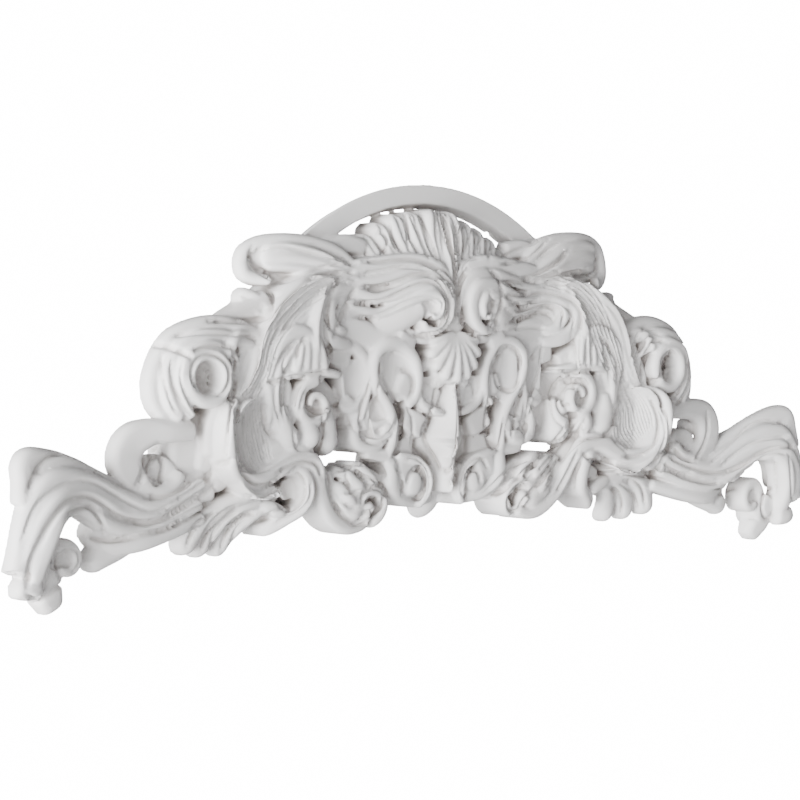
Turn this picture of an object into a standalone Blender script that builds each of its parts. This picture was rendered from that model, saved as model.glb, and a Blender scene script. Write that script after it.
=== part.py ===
# Scroll onlay: one cast piece of carved scrollwork with a flat back.
#
# The piece is a symmetrical cresting of leaves and scrolls, fixed with its flat back against a
# wall or a rail. Its back lies in the plane y = 0 and the carving faces -Y, with +Z up and the
# axis of symmetry at x = 0. The origin is on the back plane, behind the middle of the pendant.
#
# The whole ornament is drawn in modules, the way a carver sets out a full-size drawing: rows of
# (out, up, half width, top), where "out" is the distance from the axis, "up" the height above the
# origin and "top" the height of the carving above the back. One module is 1 mm at full size.

import bmesh
import bpy
import numpy as np
from math import cos, pi, radians, sin

# Driving dimensions, in metres
OVERALL_WIDTH = 0.914
RELIEF = 0.079

# The same two dimensions in modules of the drawing
WIDTH_MODULES = 937.3
RELIEF_MODULES = 82.6

# How far the strokes run on behind the back plane before it is cut flat, in modules
BACK_ALLOWANCE = 5.0

# Mesh fineness, in metres, and the number of triangles that the solid keeps
CARVING_GRAIN = 0.0024
TRIANGLE_TARGET = 8600

# How much higher the left crest, the right shoulder leaf and the right wing stand, in modules
LIFTS = {"crest": 9.0, "leaf": 10.0, "wing": 8.0}

# Default roundness of a stroke's top edges, in modules
EDGE_ROUND = 3.0

MODULE = OVERALL_WIDTH / WIDTH_MODULES
RELIEF_MODULE = RELIEF / RELIEF_MODULES


# Smooth curve through rows of values
def spline(rows, steps_per_span=8):
    rows = np.array(rows, dtype=float)
    padded = np.vstack([2 * rows[0] - rows[1], rows, 2 * rows[-1] - rows[-2]])
    share = np.linspace(0.0, 1.0, steps_per_span, endpoint=False)[:, None]
    spans = []
    for index in range(len(rows) - 1):
        before, start, end, after = padded[index:index + 4]
        linear = (end - before) / 2
        square = before - 2.5 * start + 2 * end - after / 2
        cube = (after - before) / 2 + 1.5 * (start - end)
        spans.append(start + share * (linear + share * (square + share * cube)))
    spans.append(rows[-1:])
    return np.vstack(spans)


# Rows along a spiral: radius, half width and top run evenly from the first value to the last
def volute(centre, radius, angles, half_width, top, points=12):
    share = np.linspace(0.0, 1.0, points)
    angle = np.radians(angles[0] + (angles[1] - angles[0]) * share)
    reach = radius[0] + (radius[1] - radius[0]) * share
    rows = np.empty((points, 4))
    rows[:, 0] = centre[0] + reach * np.cos(angle)
    rows[:, 1] = centre[1] + reach * np.sin(angle)
    rows[:, 2] = half_width[0] + (half_width[1] - half_width[0]) * share
    rows[:, 3] = top[0] + (top[1] - top[0]) * share
    return rows.tolist()


# Depth below the top across a stroke, for across = -1 at one edge and 1 at the other
def section_dip(across, kind, count, depth):
    if kind == "reeds":
        return depth * (1 - np.abs(np.sin(pi * count * (across + 1) / 2)) ** 0.7)
    if kind == "cove":
        return depth * (1 - across ** 2)
    if kind == "keel":
        return depth * np.abs(across)
    return np.zeros_like(across)


# Closed swept solid: a stroke of carving along a path, from behind the back plane to its top
def stroke(rows, kind="plain", count=1, depth=0.0, edge=EDGE_ROUND, tilt=0.0,
           base=-BACK_ALLOWANCE, thick=0.0, ends=(4.0, 4.0)):
    path = spline(rows)
    plan = path[:, :2]
    half_width = np.maximum(path[:, 2], 0.4)
    top = path[:, 3]
    heading = np.gradient(plan, axis=0)
    heading /= np.linalg.norm(heading, axis=1)[:, None] + 1e-9
    normal = np.stack([heading[:, 1], -heading[:, 0]], axis=1)
    travelled = np.concatenate([[0.0], np.cumsum(np.linalg.norm(np.diff(plan, axis=0), axis=1))])
    remaining = travelled[-1] - travelled
    taper = np.ones(len(path))
    for length, distance in ((ends[0], travelled), (ends[1], remaining)):
        if length > 0:
            short = np.clip(1 - distance / length, 0.0, 1.0)
            taper = np.minimum(taper, np.sqrt(np.maximum(1 - short ** 2, 0.003)))
    width = half_width * taper
    across_count = max(9, 4 * count * 2 + 1) if kind == "reeds" else 13
    across = np.sin(np.linspace(-pi / 2, pi / 2, across_count))
    rounding = np.minimum(edge, half_width)[:, None]
    past = np.clip((np.abs(across)[None, :] - 1) * half_width[:, None] + rounding, 0, None)
    drop = rounding - np.sqrt(np.maximum(rounding ** 2 - past ** 2, 0))
    dip = section_dip(across, kind, count, depth)[None, :] * np.ones((len(path), 1))
    heights = top[:, None] - drop - dip + tilt * across[None, :]
    heights -= ((1 - taper) * np.minimum(edge, half_width))[:, None]
    offsets = width[:, None] * across[None, :]
    level = np.array([0.75, 0.5, 0.25, 0.0])
    foot = (top - thick if thick else np.full(len(path), float(base)))[:, None]
    near_wall = foot + (heights[:, -1:] - foot) * level
    far_wall = foot + (heights[:, :1] - foot) * level[::-1]
    wall = width[:, None] * np.ones((1, len(level)))
    offsets = np.hstack([offsets, wall, -wall])
    heights = np.hstack([heights, near_wall, far_wall])
    points = np.empty(offsets.shape + (3,))
    points[..., 0] = plan[:, 0:1] + normal[:, 0:1] * offsets
    points[..., 1] = plan[:, 1:2] + normal[:, 1:2] * offsets
    points[..., 2] = heights
    return grid_solid(points)


# Vertices and faces of a tube of sections, closed round and with both ends capped
def grid_solid(points):
    count, ring = points.shape[:2]
    vertices = points.reshape(-1, 3)
    row, column = np.meshgrid(np.arange(count - 1), np.arange(ring), indexing="ij")
    following = (column + 1) % ring
    quads = np.stack([row * ring + column, row * ring + following,
                      (row + 1) * ring + following, (row + 1) * ring + column], axis=-1)
    faces = quads.reshape(-1, 4).tolist()
    faces.append(list(range(ring))[::-1])
    faces.append(list(range((count - 1) * ring, count * ring)))
    return vertices, faces


# A leaf or finger lobe with a round end: a tapering stroke with one smooth rounded back
def lobe(start, end, bend=0.0, widths=(4.0, 8.0), tops=(45.0, 30.0), **options):
    start = np.array(start, dtype=float)
    end = np.array(end, dtype=float)
    along = end - start
    side = np.array([along[1], -along[0]]) * bend
    middle = (start + end) / 2 + side
    mid_width = 0.45 * widths[0] + 0.55 * widths[1]
    mid_top = 0.4 * tops[0] + 0.6 * tops[1]
    rows = [[*start, widths[0], tops[0]], [*middle, mid_width, mid_top + 2], [*end, widths[1], tops[1]]]
    options.setdefault("edge", max(widths))
    options.setdefault("ends", (2.0, 1.2 * widths[1]))
    return stroke(rows, **options)


# Ring of carving round an oval opening
def oval_ring(centre, radii, half_width, top, slant=0.0, **options):
    angle = np.linspace(0, 2 * pi, 17)
    rows = np.empty((17, 4))
    rows[:, 0] = centre[0] + radii[0] * np.cos(angle) + slant * np.sin(angle)
    rows[:, 1] = centre[1] + radii[1] * np.sin(angle)
    rows[:, 2] = half_width
    rows[:, 3] = top
    options.setdefault("ends", (0.0, 0.0))
    return stroke(rows.tolist(), **options)


# Undercut strokes: below a height they draw in by a share towards the root they grow from
def drawn_in(parts, root, share, height):
    for vertices, _ in parts:
        low = np.clip(1 - vertices[:, 2:3] / height, 0, 1)
        vertices[:, :2] += (np.array(root) - vertices[:, :2]) * np.array(share) * low
    return parts


# Low ground behind the carving that ties the strokes together, set in from the outline
def ground():
    slabs = [
        [[0, 84, 76, 26], [60, 84, 60, 26], [110, 88, 34, 26], [150, 84, 26, 28]],
        [[0, 10, 44, 24], [50, 14, 40, 24], [90, 16, 30, 22], [116, 18, 24, 22]],
        [[0, -40, 40, 24], [36, -44, 38, 24], [66, -50, 30, 22]],
        [[60, -74, 16, 24], [90, -78, 16, 26], [118, -82, 12, 26]],
        [[140, 60, 36, 30], [176, 40, 40, 34], [200, -2, 40, 34], [214, -34, 24, 34]],
        [[130, 20, 30, 28], [150, -8, 28, 28], [176, -30, 18, 28]],
        [[210, 40, 34, 34], [246, 28, 34, 34], [262, -6, 22, 34], [262, -40, 20, 30]],
        [[226, -62, 16, 26], [270, -74, 15, 28], [330, -78, 15, 32], [366, -70, 13, 40]],
    ]
    return [stroke(rows, edge=2, ends=(4, 12)) for rows in slabs]


# Plain band that arches over the crest
def arch():
    radius, centre_up, half_angle = 218.0, -35.6, 43.0
    rows = []
    for angle in np.radians(np.linspace(0, half_angle, 7)):
        width = 8.7 + 2.6 * (angle / radians(half_angle)) ** 2
        rows.append([radius * sin(angle), centre_up + radius * cos(angle), width, 14.0])
    rows.insert(0, [-6.0, rows[0][1], rows[0][2], 14.0])
    rows += [[150, 112, 14, 14]]
    return drawn_in([stroke(rows, edge=1.2, ends=(0, 0))], (0, centre_up), (0.02, 0.02), 14)


# Leafy crest under the arch, and the ribs on the axis that run down between the volutes
def crest(lift):
    tips = [(84, 136, 9, 20), (68, 146, 9.5, 22), (50, 154, 10, 24), (31, 160, 10.5, 27),
            (9, 167, 10.5, 31)]
    roots = [(62, 112), (46, 114), (32, 115), (19, 115), (7, 114)]
    parts = []
    for (out, up, width, top), root in zip(tips, roots):
        raised = up + lift * min(1.0, out / 50)
        parts.append(lobe(root, (out, raised), bend=0.1, widths=(5, width), tops=(46, top + 5),
                          kind="reeds", count=2, depth=3, edge=7))
    parts.append(stroke([[0, 167, 8, 33], [0, 148, 8, 42], [0, 118, 6.5, 50], [0, 88, 5.5, 52],
                         [0, 60, 6.5, 50]], kind="reeds", count=2, depth=4, edge=4, ends=(8, 3)))
    parts.append(stroke([[0, 118, 12, 44], [0, 60, 13, 46]], edge=4))
    parts.append(stroke([[74, 124, 12, 20], [50, 132, 16, 22], [20, 136, 20, 26], [0, 138, 20, 28]],
                        edge=4))
    parts.append(stroke([[84, 132, 8, 30], [106, 135, 9, 31], [128, 128, 10, 32]], edge=5, thick=16))
    return parts


# Reeded ribbon: a curl at its outer end, and at its inner end the large volute that hooks at its eye
def centre_scroll():
    brow = [[125, 108, 5, 42], [104, 115, 7, 45], [75, 119, 7, 48], [47, 122, 6.5, 50],
            [21, 119, 6, 50], [7.3, 108, 5, 50], [0.4, 94, 4, 50]]
    collar = [[121, 97, 5, 42], [105, 101, 5, 46], [77, 105, 5.5, 50], [54, 110, 6, 53],
              [32, 111, 6, 55], [16.9, 106, 6, 56], [6, 95, 5, 56], [0.1, 80, 4.5, 55],
              [0.2, 66, 4, 53]]
    rim = [[112, 50, 4, 44], [134, 52, 6, 50], [150, 60, 6.5, 52], [158, 75, 6.5, 53],
           [152, 88, 6.5, 52], [134, 96, 6, 48], [112, 96, 5, 45],
           [91, 89, 5, 50], [71, 93, 5, 55], [52, 100, 5.5, 59], [33, 102, 6, 61],
           [19.5, 98, 6, 62], [13.6, 87, 6, 62], [14.5, 76, 5.5, 62], [21, 67, 5, 61],
           [30, 62, 4.5, 60], [38, 63, 4, 58], [42, 70, 3, 57]]
    second = [[118, 60, 3.5, 44], [133, 64, 5, 48], [142, 74, 5.5, 51], [139, 84, 5.5, 50],
              [124, 88, 5, 45],
              [91, 77, 4.5, 46], [74, 80, 5, 51], [59, 87, 5, 57], [45, 92, 5, 61], [32, 92, 5, 63],
              [25, 86, 4.5, 64], [25, 79, 4, 64], [30, 74, 3.5, 63], [37, 75, 3, 62]]
    cheek = [[90, 62, 8, 40], [76, 66, 11, 47], [62, 72, 12, 53], [49, 78, 11, 57], [40, 82, 8, 60]]
    parts = [stroke(rows, edge=4, ends=(5, 3), thick=26) for rows in (brow, collar, rim, second)]
    parts.append(stroke(cheek, edge=11, ends=(8, 7)))
    parts.append(stroke([[112, 78, 3, 36], [126, 80, 5, 41], [132, 75, 4, 42], [124, 70, 4, 40],
                         [112, 69, 3, 36]], edge=4))
    parts.append(stroke([[55, 62, 4, 46], [39, 55, 5, 50], [17.2, 54, 4, 50]], edge=4))
    parts.append(stroke([[100, 80, 14, 38], [140, 74, 18, 42]], edge=4))
    parts.append(stroke([[40, 72, 20, 56], [36, 90, 20, 57]], edge=8, ends=(16, 16)))
    parts.append(stroke([[130, 58, 14, 40], [104, 60, 14, 42], [84, 54, 12, 44], [60, 58, 12, 46]],
                        edge=6))
    parts.append(stroke([[120, 104, 12, 40], [90, 104, 14, 42], [60, 106, 16, 46], [30, 108, 14, 48]],
                        edge=6))
    return parts


# Fluted shell below the volutes, with its lip
def shell():
    parts = []
    for index, reach in enumerate((46, 45, 42, 38, 32)):
        angle = radians(18.5 * index)
        tip = (reach * sin(angle), 60 - reach * cos(angle))
        parts.append(lobe((0.5 * index, 60), tip, widths=(1.2, 5.4), tops=(53, 57 - index), edge=5))
    parts.append(lobe((20, 40), (34, 26), widths=(4, 6), tops=(44, 44)))
    parts.append(stroke([[0, 17, 4, 53], [12, 20, 4, 51], [24, 25, 3, 48]], edge=4))
    return parts


# Keeled pendant leaf on the axis, with the smaller leaf under it and the knob at its foot
def pendant():
    return [
        stroke([[0, 22, 9, 50], [0, 4, 13, 54], [0, -14, 21, 55], [0, -30, 29, 55], [0, -40, 29, 54],
                [0, -50, 18, 51], [0, -57, 8, 46]], kind="keel", depth=27, edge=2, ends=(3, 3),
               thick=42),
        stroke([[0, -46, 13, 50], [0, -60, 13, 50], [0, -76, 9, 48], [0, -82, 4, 46]], kind="keel",
               depth=16, edge=2, ends=(3, 2)),
        lobe((0, -78), (0, -107), widths=(13, 14), tops=(26, 15)),
    ]


# Hairpin loops of ribbon on either side of the pendant, closed behind, and the leaves under them
def hairpins():
    inner = [[53, -5.6, 4, 46], [43, 3.5, 4.5, 48], [40, 20, 5, 50], [46, 38, 5, 51],
             [60, 49, 5.5, 51], [76, 50, 5.5, 51], [88, 42, 5, 50], [91, 28, 4.5, 49],
             [86, 12.4, 4.5, 48], [76, 0.5, 4.5, 48], [68, -13.4, 5, 47], [65, -29, 5, 45],
             [67, -46, 5.5, 42], [67, -60, 5, 38]]
    lower = [[92, 26, 3.5, 46], [95, 8.3, 4, 44], [100, -7.7, 4.5, 43], [107, -22, 5, 42],
             [104, -34, 5.5, 42], [90, -38, 5.5, 43], [77, -32, 5, 44], [71, -17.5, 4.5, 46]]
    outer = [[123, 44, 3, 40], [112, 49, 5, 43], [100, 41, 5, 44], [93, 25, 4.5, 44],
             [95, 7.2, 4.5, 43], [105, -2.8, 5, 42], [116, -3.9, 4.5, 40], [122, 4, 3, 38]]
    flank = [[42, 30, 3.5, 46], [40, 12.4, 4, 47], [34, -1.5, 4, 47], [21, -8.4, 4, 48],
             [8.4, -11.4, 3, 48]]
    parts = [stroke(rows, edge=4.5, ends=(5, 3)) for rows in (inner, lower, outer, flank)]
    bowls = [[[66, -2, 17, 46], [64, 45, 20, 47]], [[74, -28, 15, 43], [84, 6, 13, 43]],
             [[106, 0, 13, 40], [110, 38, 12, 40]], [[28, -4, 14, 44], [30, 22, 13, 46]]]
    parts += [stroke(rows, kind="cove", depth=6, edge=2, ends=(8, 8)) for rows in bowls]
    parts += [
        stroke([[52, 2, 16, 44], [46, 24, 12, 46]], edge=5),
        stroke([[18, 14, 12, 43], [24, -6, 10, 42]], edge=5),
        stroke([[68, -26, 2.5, 45], [81, -31, 3, 44], [94, -32, 2, 42]], edge=3),
        stroke([[69, -15.6, 2.5, 44], [82, -18.7, 3, 43], [93, -17.8, 2, 41]], edge=3),
        lobe((118, 6), (106, -22), bend=0.2, widths=(5, 8), tops=(40, 36), base=14),
        lobe((100, -28), (74, -44), bend=0.15, widths=(5, 7), tops=(36, 36)),
        stroke([[68, -46, 6, 41], [84, -45, 6, 41], [96, -44, 5, 40]], edge=4, thick=10),
        stroke([[50, -30, 16, 36], [48, -52, 14, 34]], edge=6),
    ]
    return parts


# Ribbons that run down to the foot on either side of the pendant, and curl round flat lenses
def foot_scrolls():
    barrel = [[69, -44, 5, 40], [66, -57, 7.5, 44], [64, -71, 8, 43], [51, -83, 7, 38],
              [27, -88, 6, 31], [2.6, -85, 6, 26]]
    crown = [[61, -46, 3.5, 43], [47, -49, 4, 44], [34, -53, 4, 44], [23, -63, 4, 43],
             [19.8, -76, 4, 41], [23, -87, 4, 37], [29, -93, 4, 33]]
    return [
        stroke(barrel, edge=7, ends=(6, 3)),
        stroke(crown, edge=4, ends=(4, 3)),
        stroke([[38, -60, 13, 41], [38, -84, 13, 38]], kind="cove", depth=-3, edge=6, ends=(12, 12)),
        stroke([[12, -80, 9, 28], [30, -84, 8, 28]], edge=6),
        stroke([[20, -56, 8, 36], [22, -72, 8, 36]], edge=5),
        stroke([[46, -50, 13, 41], [52, -72, 10, 41]], edge=5),
    ]


# Rose at the foot: the ribbon's curl round an almond eye, and the reeded leaf that folds into it
def rose():
    hook = [[88, -106, 5, 36], [78, -99, 5, 40], [75, -88, 5, 43], [82, -78, 5, 45],
            [95, -77, 4.5, 46], [105, -83, 4, 46]]
    cup = [[152, -62, 4, 40], [146, -76, 5, 42], [137, -88, 5, 42], [123, -97, 5, 41],
           [106, -100, 4, 40]]
    folds = [
        [[133, -56, 4, 42], [123, -59, 5, 46], [113, -65, 5.5, 48], [103, -73, 5, 48]],
        [[135, -68, 4, 42], [127, -71, 5, 46], [119, -79, 5.5, 48], [111, -88, 5, 47]],
        [[131, -82, 4, 42], [124, -85, 5, 45], [116, -92, 4, 45]],
        [[115, -52, 4, 42], [105, -55, 5, 46], [94, -63, 5, 47], [87, -72, 4, 46]],
    ]
    parts = [stroke(rows, edge=5, ends=(4, 5), thick=24) for rows in folds]
    parts += [stroke(rows, edge=4.5, ends=(5, 3)) for rows in (hook, cup)]
    parts.append(stroke([[124, -68, 15, 41], [110, -80, 20, 45], [94, -84, 15, 45]], edge=10,
                        ends=(10, 10)))
    parts.append(lobe((102, -90), (88, -90), widths=(5, 5), tops=(44, 46)))
    parts.append(stroke([[114, -56, 5, 32], [94, -62, 9, 36], [73, -74, 10, 35],
                [62, -91, 7, 28]], kind="reeds",
                        count=4, depth=3, edge=6, base=6))
    return parts


# Broad shoulder leaf over the main scroll: its rolled rim, ridged face and the lobe that steps down
def shoulder_leaf(lift):
    rim = [[104, 116, 5, 38], [122, 128, 6, 38], [147, 135, 6, 37], [174, 137, 6, 35],
           [196, 135, 6, 31], [211, 128, 6, 28], [216, 118, 6.5, 28], [215, 109, 6, 30],
           [206, 104, 5.5, 34], [196, 103, 4, 40]]
    face = [[101, 104, 8, 44], [129, 113, 10, 46], [154, 120, 12, 43], [181, 123, 13, 39],
            [202, 121, 11, 33]]
    under = [[123, 102, 6, 44], [153, 104, 8, 47], [174, 97, 9, 48], [195, 84, 8, 49]]
    tongue = [[192, 64, 6, 48], [206, 74, 9, 46], [214, 84, 11, 41], [221, 89, 9, 37],
              [227, 91, 6, 34]]
    raised = [
        stroke(face, kind="reeds", count=3, depth=2.5, edge=5, ends=(3, 8), thick=18),
        stroke(rim, edge=6, ends=(6, 3), thick=12),
        stroke([[104, 116, 14, 26], [150, 120, 18, 27], [186, 118, 16, 25], [210, 116, 11, 24]],
               edge=4, thick=12),
    ]
    for points, _ in raised:
        points[:, 1] += lift * np.clip((points[:, 1] - 100) / 30, 0, 1)
    return raised + [
        stroke(under, edge=5, ends=(4, 6)),
        stroke(tongue, kind="reeds", count=2, depth=3, edge=5, ends=(4, 5), thick=14),
        stroke([[110, 110, 16, 24], [166, 104, 18, 26], [182, 98, 14, 26]], edge=4),
        stroke([[170, 76, 20, 32], [192, 72, 18, 32], [206, 70, 14, 32]], edge=4),
        stroke([[196, 84, 14, 42], [222, 72, 14, 42], [246, 60, 14, 44]], edge=8, thick=22),
    ]


# Stem of the main scroll: it comes from under the shoulder leaf and tapers to a point on the scroll
def main_stem():
    blade = [[137, 101, 6, 53], [161, 98, 9, 54], [184, 86, 10, 55], [202, 71, 10, 56],
             [212, 53, 10, 56], [219, 33, 9, 56], [230, 15.7, 6, 55], [245, 4.7, 2, 52]]
    body = [[140, 86, 10, 50], [161, 80, 12, 51], [181, 68, 13, 52], [195, 50, 13, 52],
            [203, 26, 12, 52], [210, 4.6, 14, 51]]
    return [
        stroke(blade, kind="reeds", count=3, depth=2.5, edge=3, tilt=-3, ends=(4, 8)),
        stroke(body, kind="reeds", count=4, depth=2, edge=3, ends=(4, 10)),
    ]


# Main scroll: tall rim, smooth crescent, striated hollow, and the ribbon that runs on to the foot
def main_scroll():
    rim = [[247, 7, 3, 60], [259, -0.4, 4, 69], [264, -11.9, 5, 73], [263, -31, 5.5, 73],
           [257, -47, 6, 70], [241, -57, 7, 64], [222, -58, 8, 60], [205, -52, 8, 58],
           [188, -44, 8, 57], [173, -42, 8, 56], [160, -49, 7.5, 54], [151, -63, 7, 50],
           [145, -79, 7, 46], [133, -95, 7, 42], [117, -105, 6.5, 40], [100, -105, 6, 39],
           [88, -99, 5, 40]]
    crescent = [[225, 5.2, 3, 62], [241, -4.4, 5, 66], [249, -24, 6, 66], [250, -45, 6.5, 64],
                [239, -62, 7.5, 60], [223, -69, 8, 57], [203, -65, 7, 55]]
    hollow = [[192, 40, 14, 51], [206, 18, 18, 51], [218, 0, 23, 51], [227, -18, 26, 51],
              [226, -36, 24, 51], [216, -50, 16, 52]]
    return [
        stroke(rim, edge=5, ends=(6, 3), thick=34),
        stroke(crescent, edge=3, tilt=-6, ends=(5, 4), thick=30),
        stroke(hollow, kind="reeds", count=9, depth=1.6, edge=2, tilt=-2, ends=(8, 8)),
        stroke([[214, -42, 14, 52], [190, -38, 13, 52], [164, -38, 10, 50]], edge=3, ends=(6, 6)),
        stroke([[148, -52, 12, 30], [138, -78, 12, 28], [120, -94, 11, 26]], edge=4),
    ]


# Bud under the shoulder: hood, hanging feather tips, drop leaf, small volute and petals
def bud():
    hood = [[210, -15.1, 3, 53], [208, 4.8, 4, 54], [212, 23, 5, 55], [209, 38, 6, 56],
            [200, 52, 6.5, 57], [186, 60, 6.5, 57], [172, 59, 6, 57], [165, 50, 4, 56]]
    sleeve = [[202, -15, 3, 54], [204, 4.8, 4, 55], [202, 25, 4, 56], [193, 40, 4, 56],
              [180, 51, 4, 56]]
    drop = [[140, 106, 4, 50], [153, 90, 6, 55], [162, 68, 7, 58], [163, 48, 7, 59],
            [158, 31, 6, 57]]
    parts = [
        stroke(hood, edge=4, ends=(8, 4)),
        stroke(sleeve, edge=3, ends=(8, 4)),
        stroke(drop, edge=6, ends=(5, 4), kind="keel", depth=4),
        stroke(volute((160, 0), (21, 4), (100, -380), (6, 2.5), (54, 52), 20), edge=4.5),
        stroke([[160, -14, 12, 44], [162, 16, 12, 44]], edge=8, ends=(8, 8)),
        stroke([[198, 24, 3, 55], [178, 27, 4, 57], [155, 28, 4, 56], [128, 24, 3, 50]], edge=4),
        stroke([[176, 44, 12, 46], [160, 36, 14, 46], [140, 26, 12, 44]], edge=4),
        lobe((196, 4), (180, -36), bend=-0.15, widths=(7, 13), tops=(52, 58)),
        lobe((168, -12), (164, -37), widths=(9, 12), tops=(52, 58)),
        lobe((142, 0), (141, -44), widths=(10, 12), tops=(44, 50)),
    ]
    for index in range(4):
        out = 185 - 10.5 * index
        parts.append(lobe((176 - 5 * index, 62), (out, 26), widths=(3, 5.5), tops=(54, 58)))
    return parts


# Side scroll with its open eye, the reeded leaf that wraps it and the stem leaf beside it
def side_scroll():
    eye = (277, 25)
    bands = [
        ([[218, 60, 4, 50], [240, 66, 6, 51], [261, 68, 7, 50], [283, 64, 7, 48], [300, 56, 7, 46],
          [311, 42, 7, 45], [319, 24, 7, 46], [319, 6.5, 6.5, 48], [312, -7.2, 5, 52]], 7),
        ([[223, 50, 4, 52], [247, 56, 6, 55], [270, 58, 6, 56], [289, 54, 6.5, 55],
          [302, 44, 6.5, 54], [310, 27, 6.5, 54], [309, 6.8, 6, 56], [300, -7.9, 5, 57]], 5),
        ([[242, 36, 3, 54], [255, 46, 4.5, 58], [271, 50, 5, 60], [286, 47, 5.5, 61],
          [298, 39, 5.5, 61], [302, 23, 5, 60], [298, 7, 5, 60], [290, -6.9, 4, 58]], 4),
    ]
    parts = [stroke(rows, edge=edge, ends=(4, 3), thick=thick)
             for (rows, edge), thick in zip(bands, (14, 22, 26))]
    parts += [
        oval_ring(eye, (19, 19), 5.5, 62, edge=5, base=24),
        stroke([[266, 25, 13, 46], [288, 25, 13, 46]], kind="cove", depth=10, edge=2, base=20),
        stroke([[215, 50, 16, 40], [250, 44, 17, 40], [272, 22, 18, 38]], edge=6, base=10),
        stroke([[314, -7.2, 4, 52], [306, -12, 6, 55], [294, -12.9, 4.5, 56]], edge=5, base=36),
        lobe((226, 60), (258, 40), bend=-0.2, widths=(4, 6), tops=(50, 60), base=30),
    ]
    parts += [
        stroke([[259, 10.9, 4, 58], [264, -3, 8, 57], [267, -18.9, 9.5, 55],
                [263, -39, 9, 51]], edge=5, ends=(4, 5),
               thick=22),
        stroke([[254, -0.7, 2, 62], [257, -18.6, 3.5, 60],
                [254, -37, 3, 56]], edge=3, ends=(6, 5), thick=24),
        stroke([[257, -43, 8, 48], [255, -57, 10, 46],
                [251, -68, 8, 43]], edge=6, ends=(5, 6), thick=22),
        stroke([[216, 64, 6, 50], [230, 46, 9, 50], [241, 26, 9, 51],
                [249, 6.8, 5, 54]], kind="reeds", count=2,
               depth=2, edge=3, ends=(6, 6)),
        stroke([[282, 2, 14, 40], [287, -30, 15, 42], [280, -58, 15, 42], [262, -70, 12, 40]], edge=6,
               base=8),
    ]
    return parts


# Loop of broad ribbon between the side scroll and the wing, curling in on itself to a small bowl
def loop():
    rows = [[285, -16.8, 8, 56], [308, -16.8, 9, 57], [326, -16.9, 11, 55], [342, -23, 14, 53],
            [349, -36, 15, 52], [345, -50, 13, 53], [332, -60, 9, 54], [319, -65, 8, 55],
            [305, -60, 7, 54], [296, -49, 6, 52]]
    disc = stroke([[312, -35, 14, 46], [314, -50, 17, 48], [312, -66, 14, 48]], kind="cove", depth=4,
                  edge=7, ends=(10, 10), base=24)
    return [stroke(rows, edge=7, ends=(4, 3), thick=14), disc,
            stroke([[300, -68, 12, 40], [330, -70, 12, 42], [350, -64, 10, 44]], edge=6, base=14)]


# End wing: long ribs that hump up and turn down into a rolled lip, with a curl tucked behind
def wing(lift):
    ribs = [
        ([[353, -59, 5, 50], [384, -49, 8, 56], [408, -41, 10, 62], [430, -36, 11, 66],
          [448, -36, 12, 69], [452, -49, 10, 72], [456, -68, 8, 75]], 7, 13),
        ([[271, -59, 5, 50], [302, -68, 8, 55], [336, -74, 9, 58], [367, -65, 10, 62],
          [394, -55, 11, 68], [417, -50, 11, 73], [436, -54, 11, 76], [451, -72, 10, 77],
          [458, -93, 9, 77], [460, -117, 9, 73]], 7, 14),
        ([[270, -65, 3, 48], [312, -77, 5, 55], [350, -80, 6, 59], [376, -70, 6.5, 65],
          [405, -60, 7, 72], [428, -63, 7, 79], [444, -78, 7, 81], [453, -99, 8, 79],
          [455, -119, 8, 71]], 5, 26),
        ([[273, -75, 4, 50], [313, -87, 5, 56], [350, -91, 6, 59], [376, -83, 6, 64],
          [405, -70, 6, 72], [428, -74, 7.5, 81], [439, -91, 8, 82], [444, -109, 8, 77],
          [443, -126, 7, 68]], 6, 28),
        ([[267, -87, 5, 44], [301, -95, 7, 50], [336, -102, 8, 53], [360, -103, 8, 50],
          [371, -100, 5, 46]], 7, 22),
    ]
    parts = [stroke(rows, edge=edge, ends=(4, 4), thick=thick) for rows, edge, thick in ribs]
    parts.append(stroke([[290, -80, 16, 38], [335, -80, 17, 42], [368, -66, 15, 50], [400, -56, 14, 56],
                         [430, -62, 12, 62], [442, -82, 10, 64], [446, -106, 9, 64]],
                        edge=6, ends=(6, 10), thick=20))
    curl = [
        stroke([[461, -126, 8, 68], [450, -129, 8, 70], [436, -129, 8, 68]], edge=8, ends=(5, 4),
               base=54),
        stroke([[436, -112, 12, 60], [424, -132, 13, 57], [414, -150, 9, 50]], edge=7, base=36),
        stroke(volute((409, -112), (18, 6), (-80, 330), (7, 3), (55, 57), 16), edge=6, base=30),
        stroke([[409, -124, 13, 50], [409, -100, 13, 50]], edge=8, ends=(8, 8), base=30),
        stroke([[330, -96, 10, 44], [352, -104, 12, 46], [370, -112, 11, 46], [380, -122, 8, 44]],
               edge=8, ends=(8, 7), base=30),
        stroke([[350, -82, 16, 46], [368, -90, 14, 46], [380, -102, 9, 44]], edge=6, base=30),
    ]
    for points, _ in parts + curl:
        points[:, 1] += (lift * np.clip((points[:, 0] - 340) / 90, 0, 1)
                         * np.clip((points[:, 1] + 140) / 50, 0, 1))
    return parts + curl


# Fingers that sweep out and down below the main scroll
def fingers():
    sweeps = [
        [[214, -70, 5, 46], [240, -76, 8, 46], [263, -88, 10.5, 42], [275, -103, 10.5, 36],
         [279, -119, 9, 32]],
        [[208, -77, 5, 42], [231, -84, 8, 41], [248, -97, 10, 34], [256, -110, 10, 27],
         [258, -123, 8, 23]],
        [[202, -83, 5, 40], [217, -90, 7, 38], [229, -102, 9.5, 29], [234, -113, 9, 22],
         [235, -124, 7.5, 19]],
    ]
    parts = [stroke(rows, edge=10, ends=(4, 9), thick=18) for rows in sweeps]
    parts.append(stroke([[206, -76, 10, 24], [230, -84, 12, 22], [244, -94, 10, 18]], edge=5))
    return parts


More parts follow.
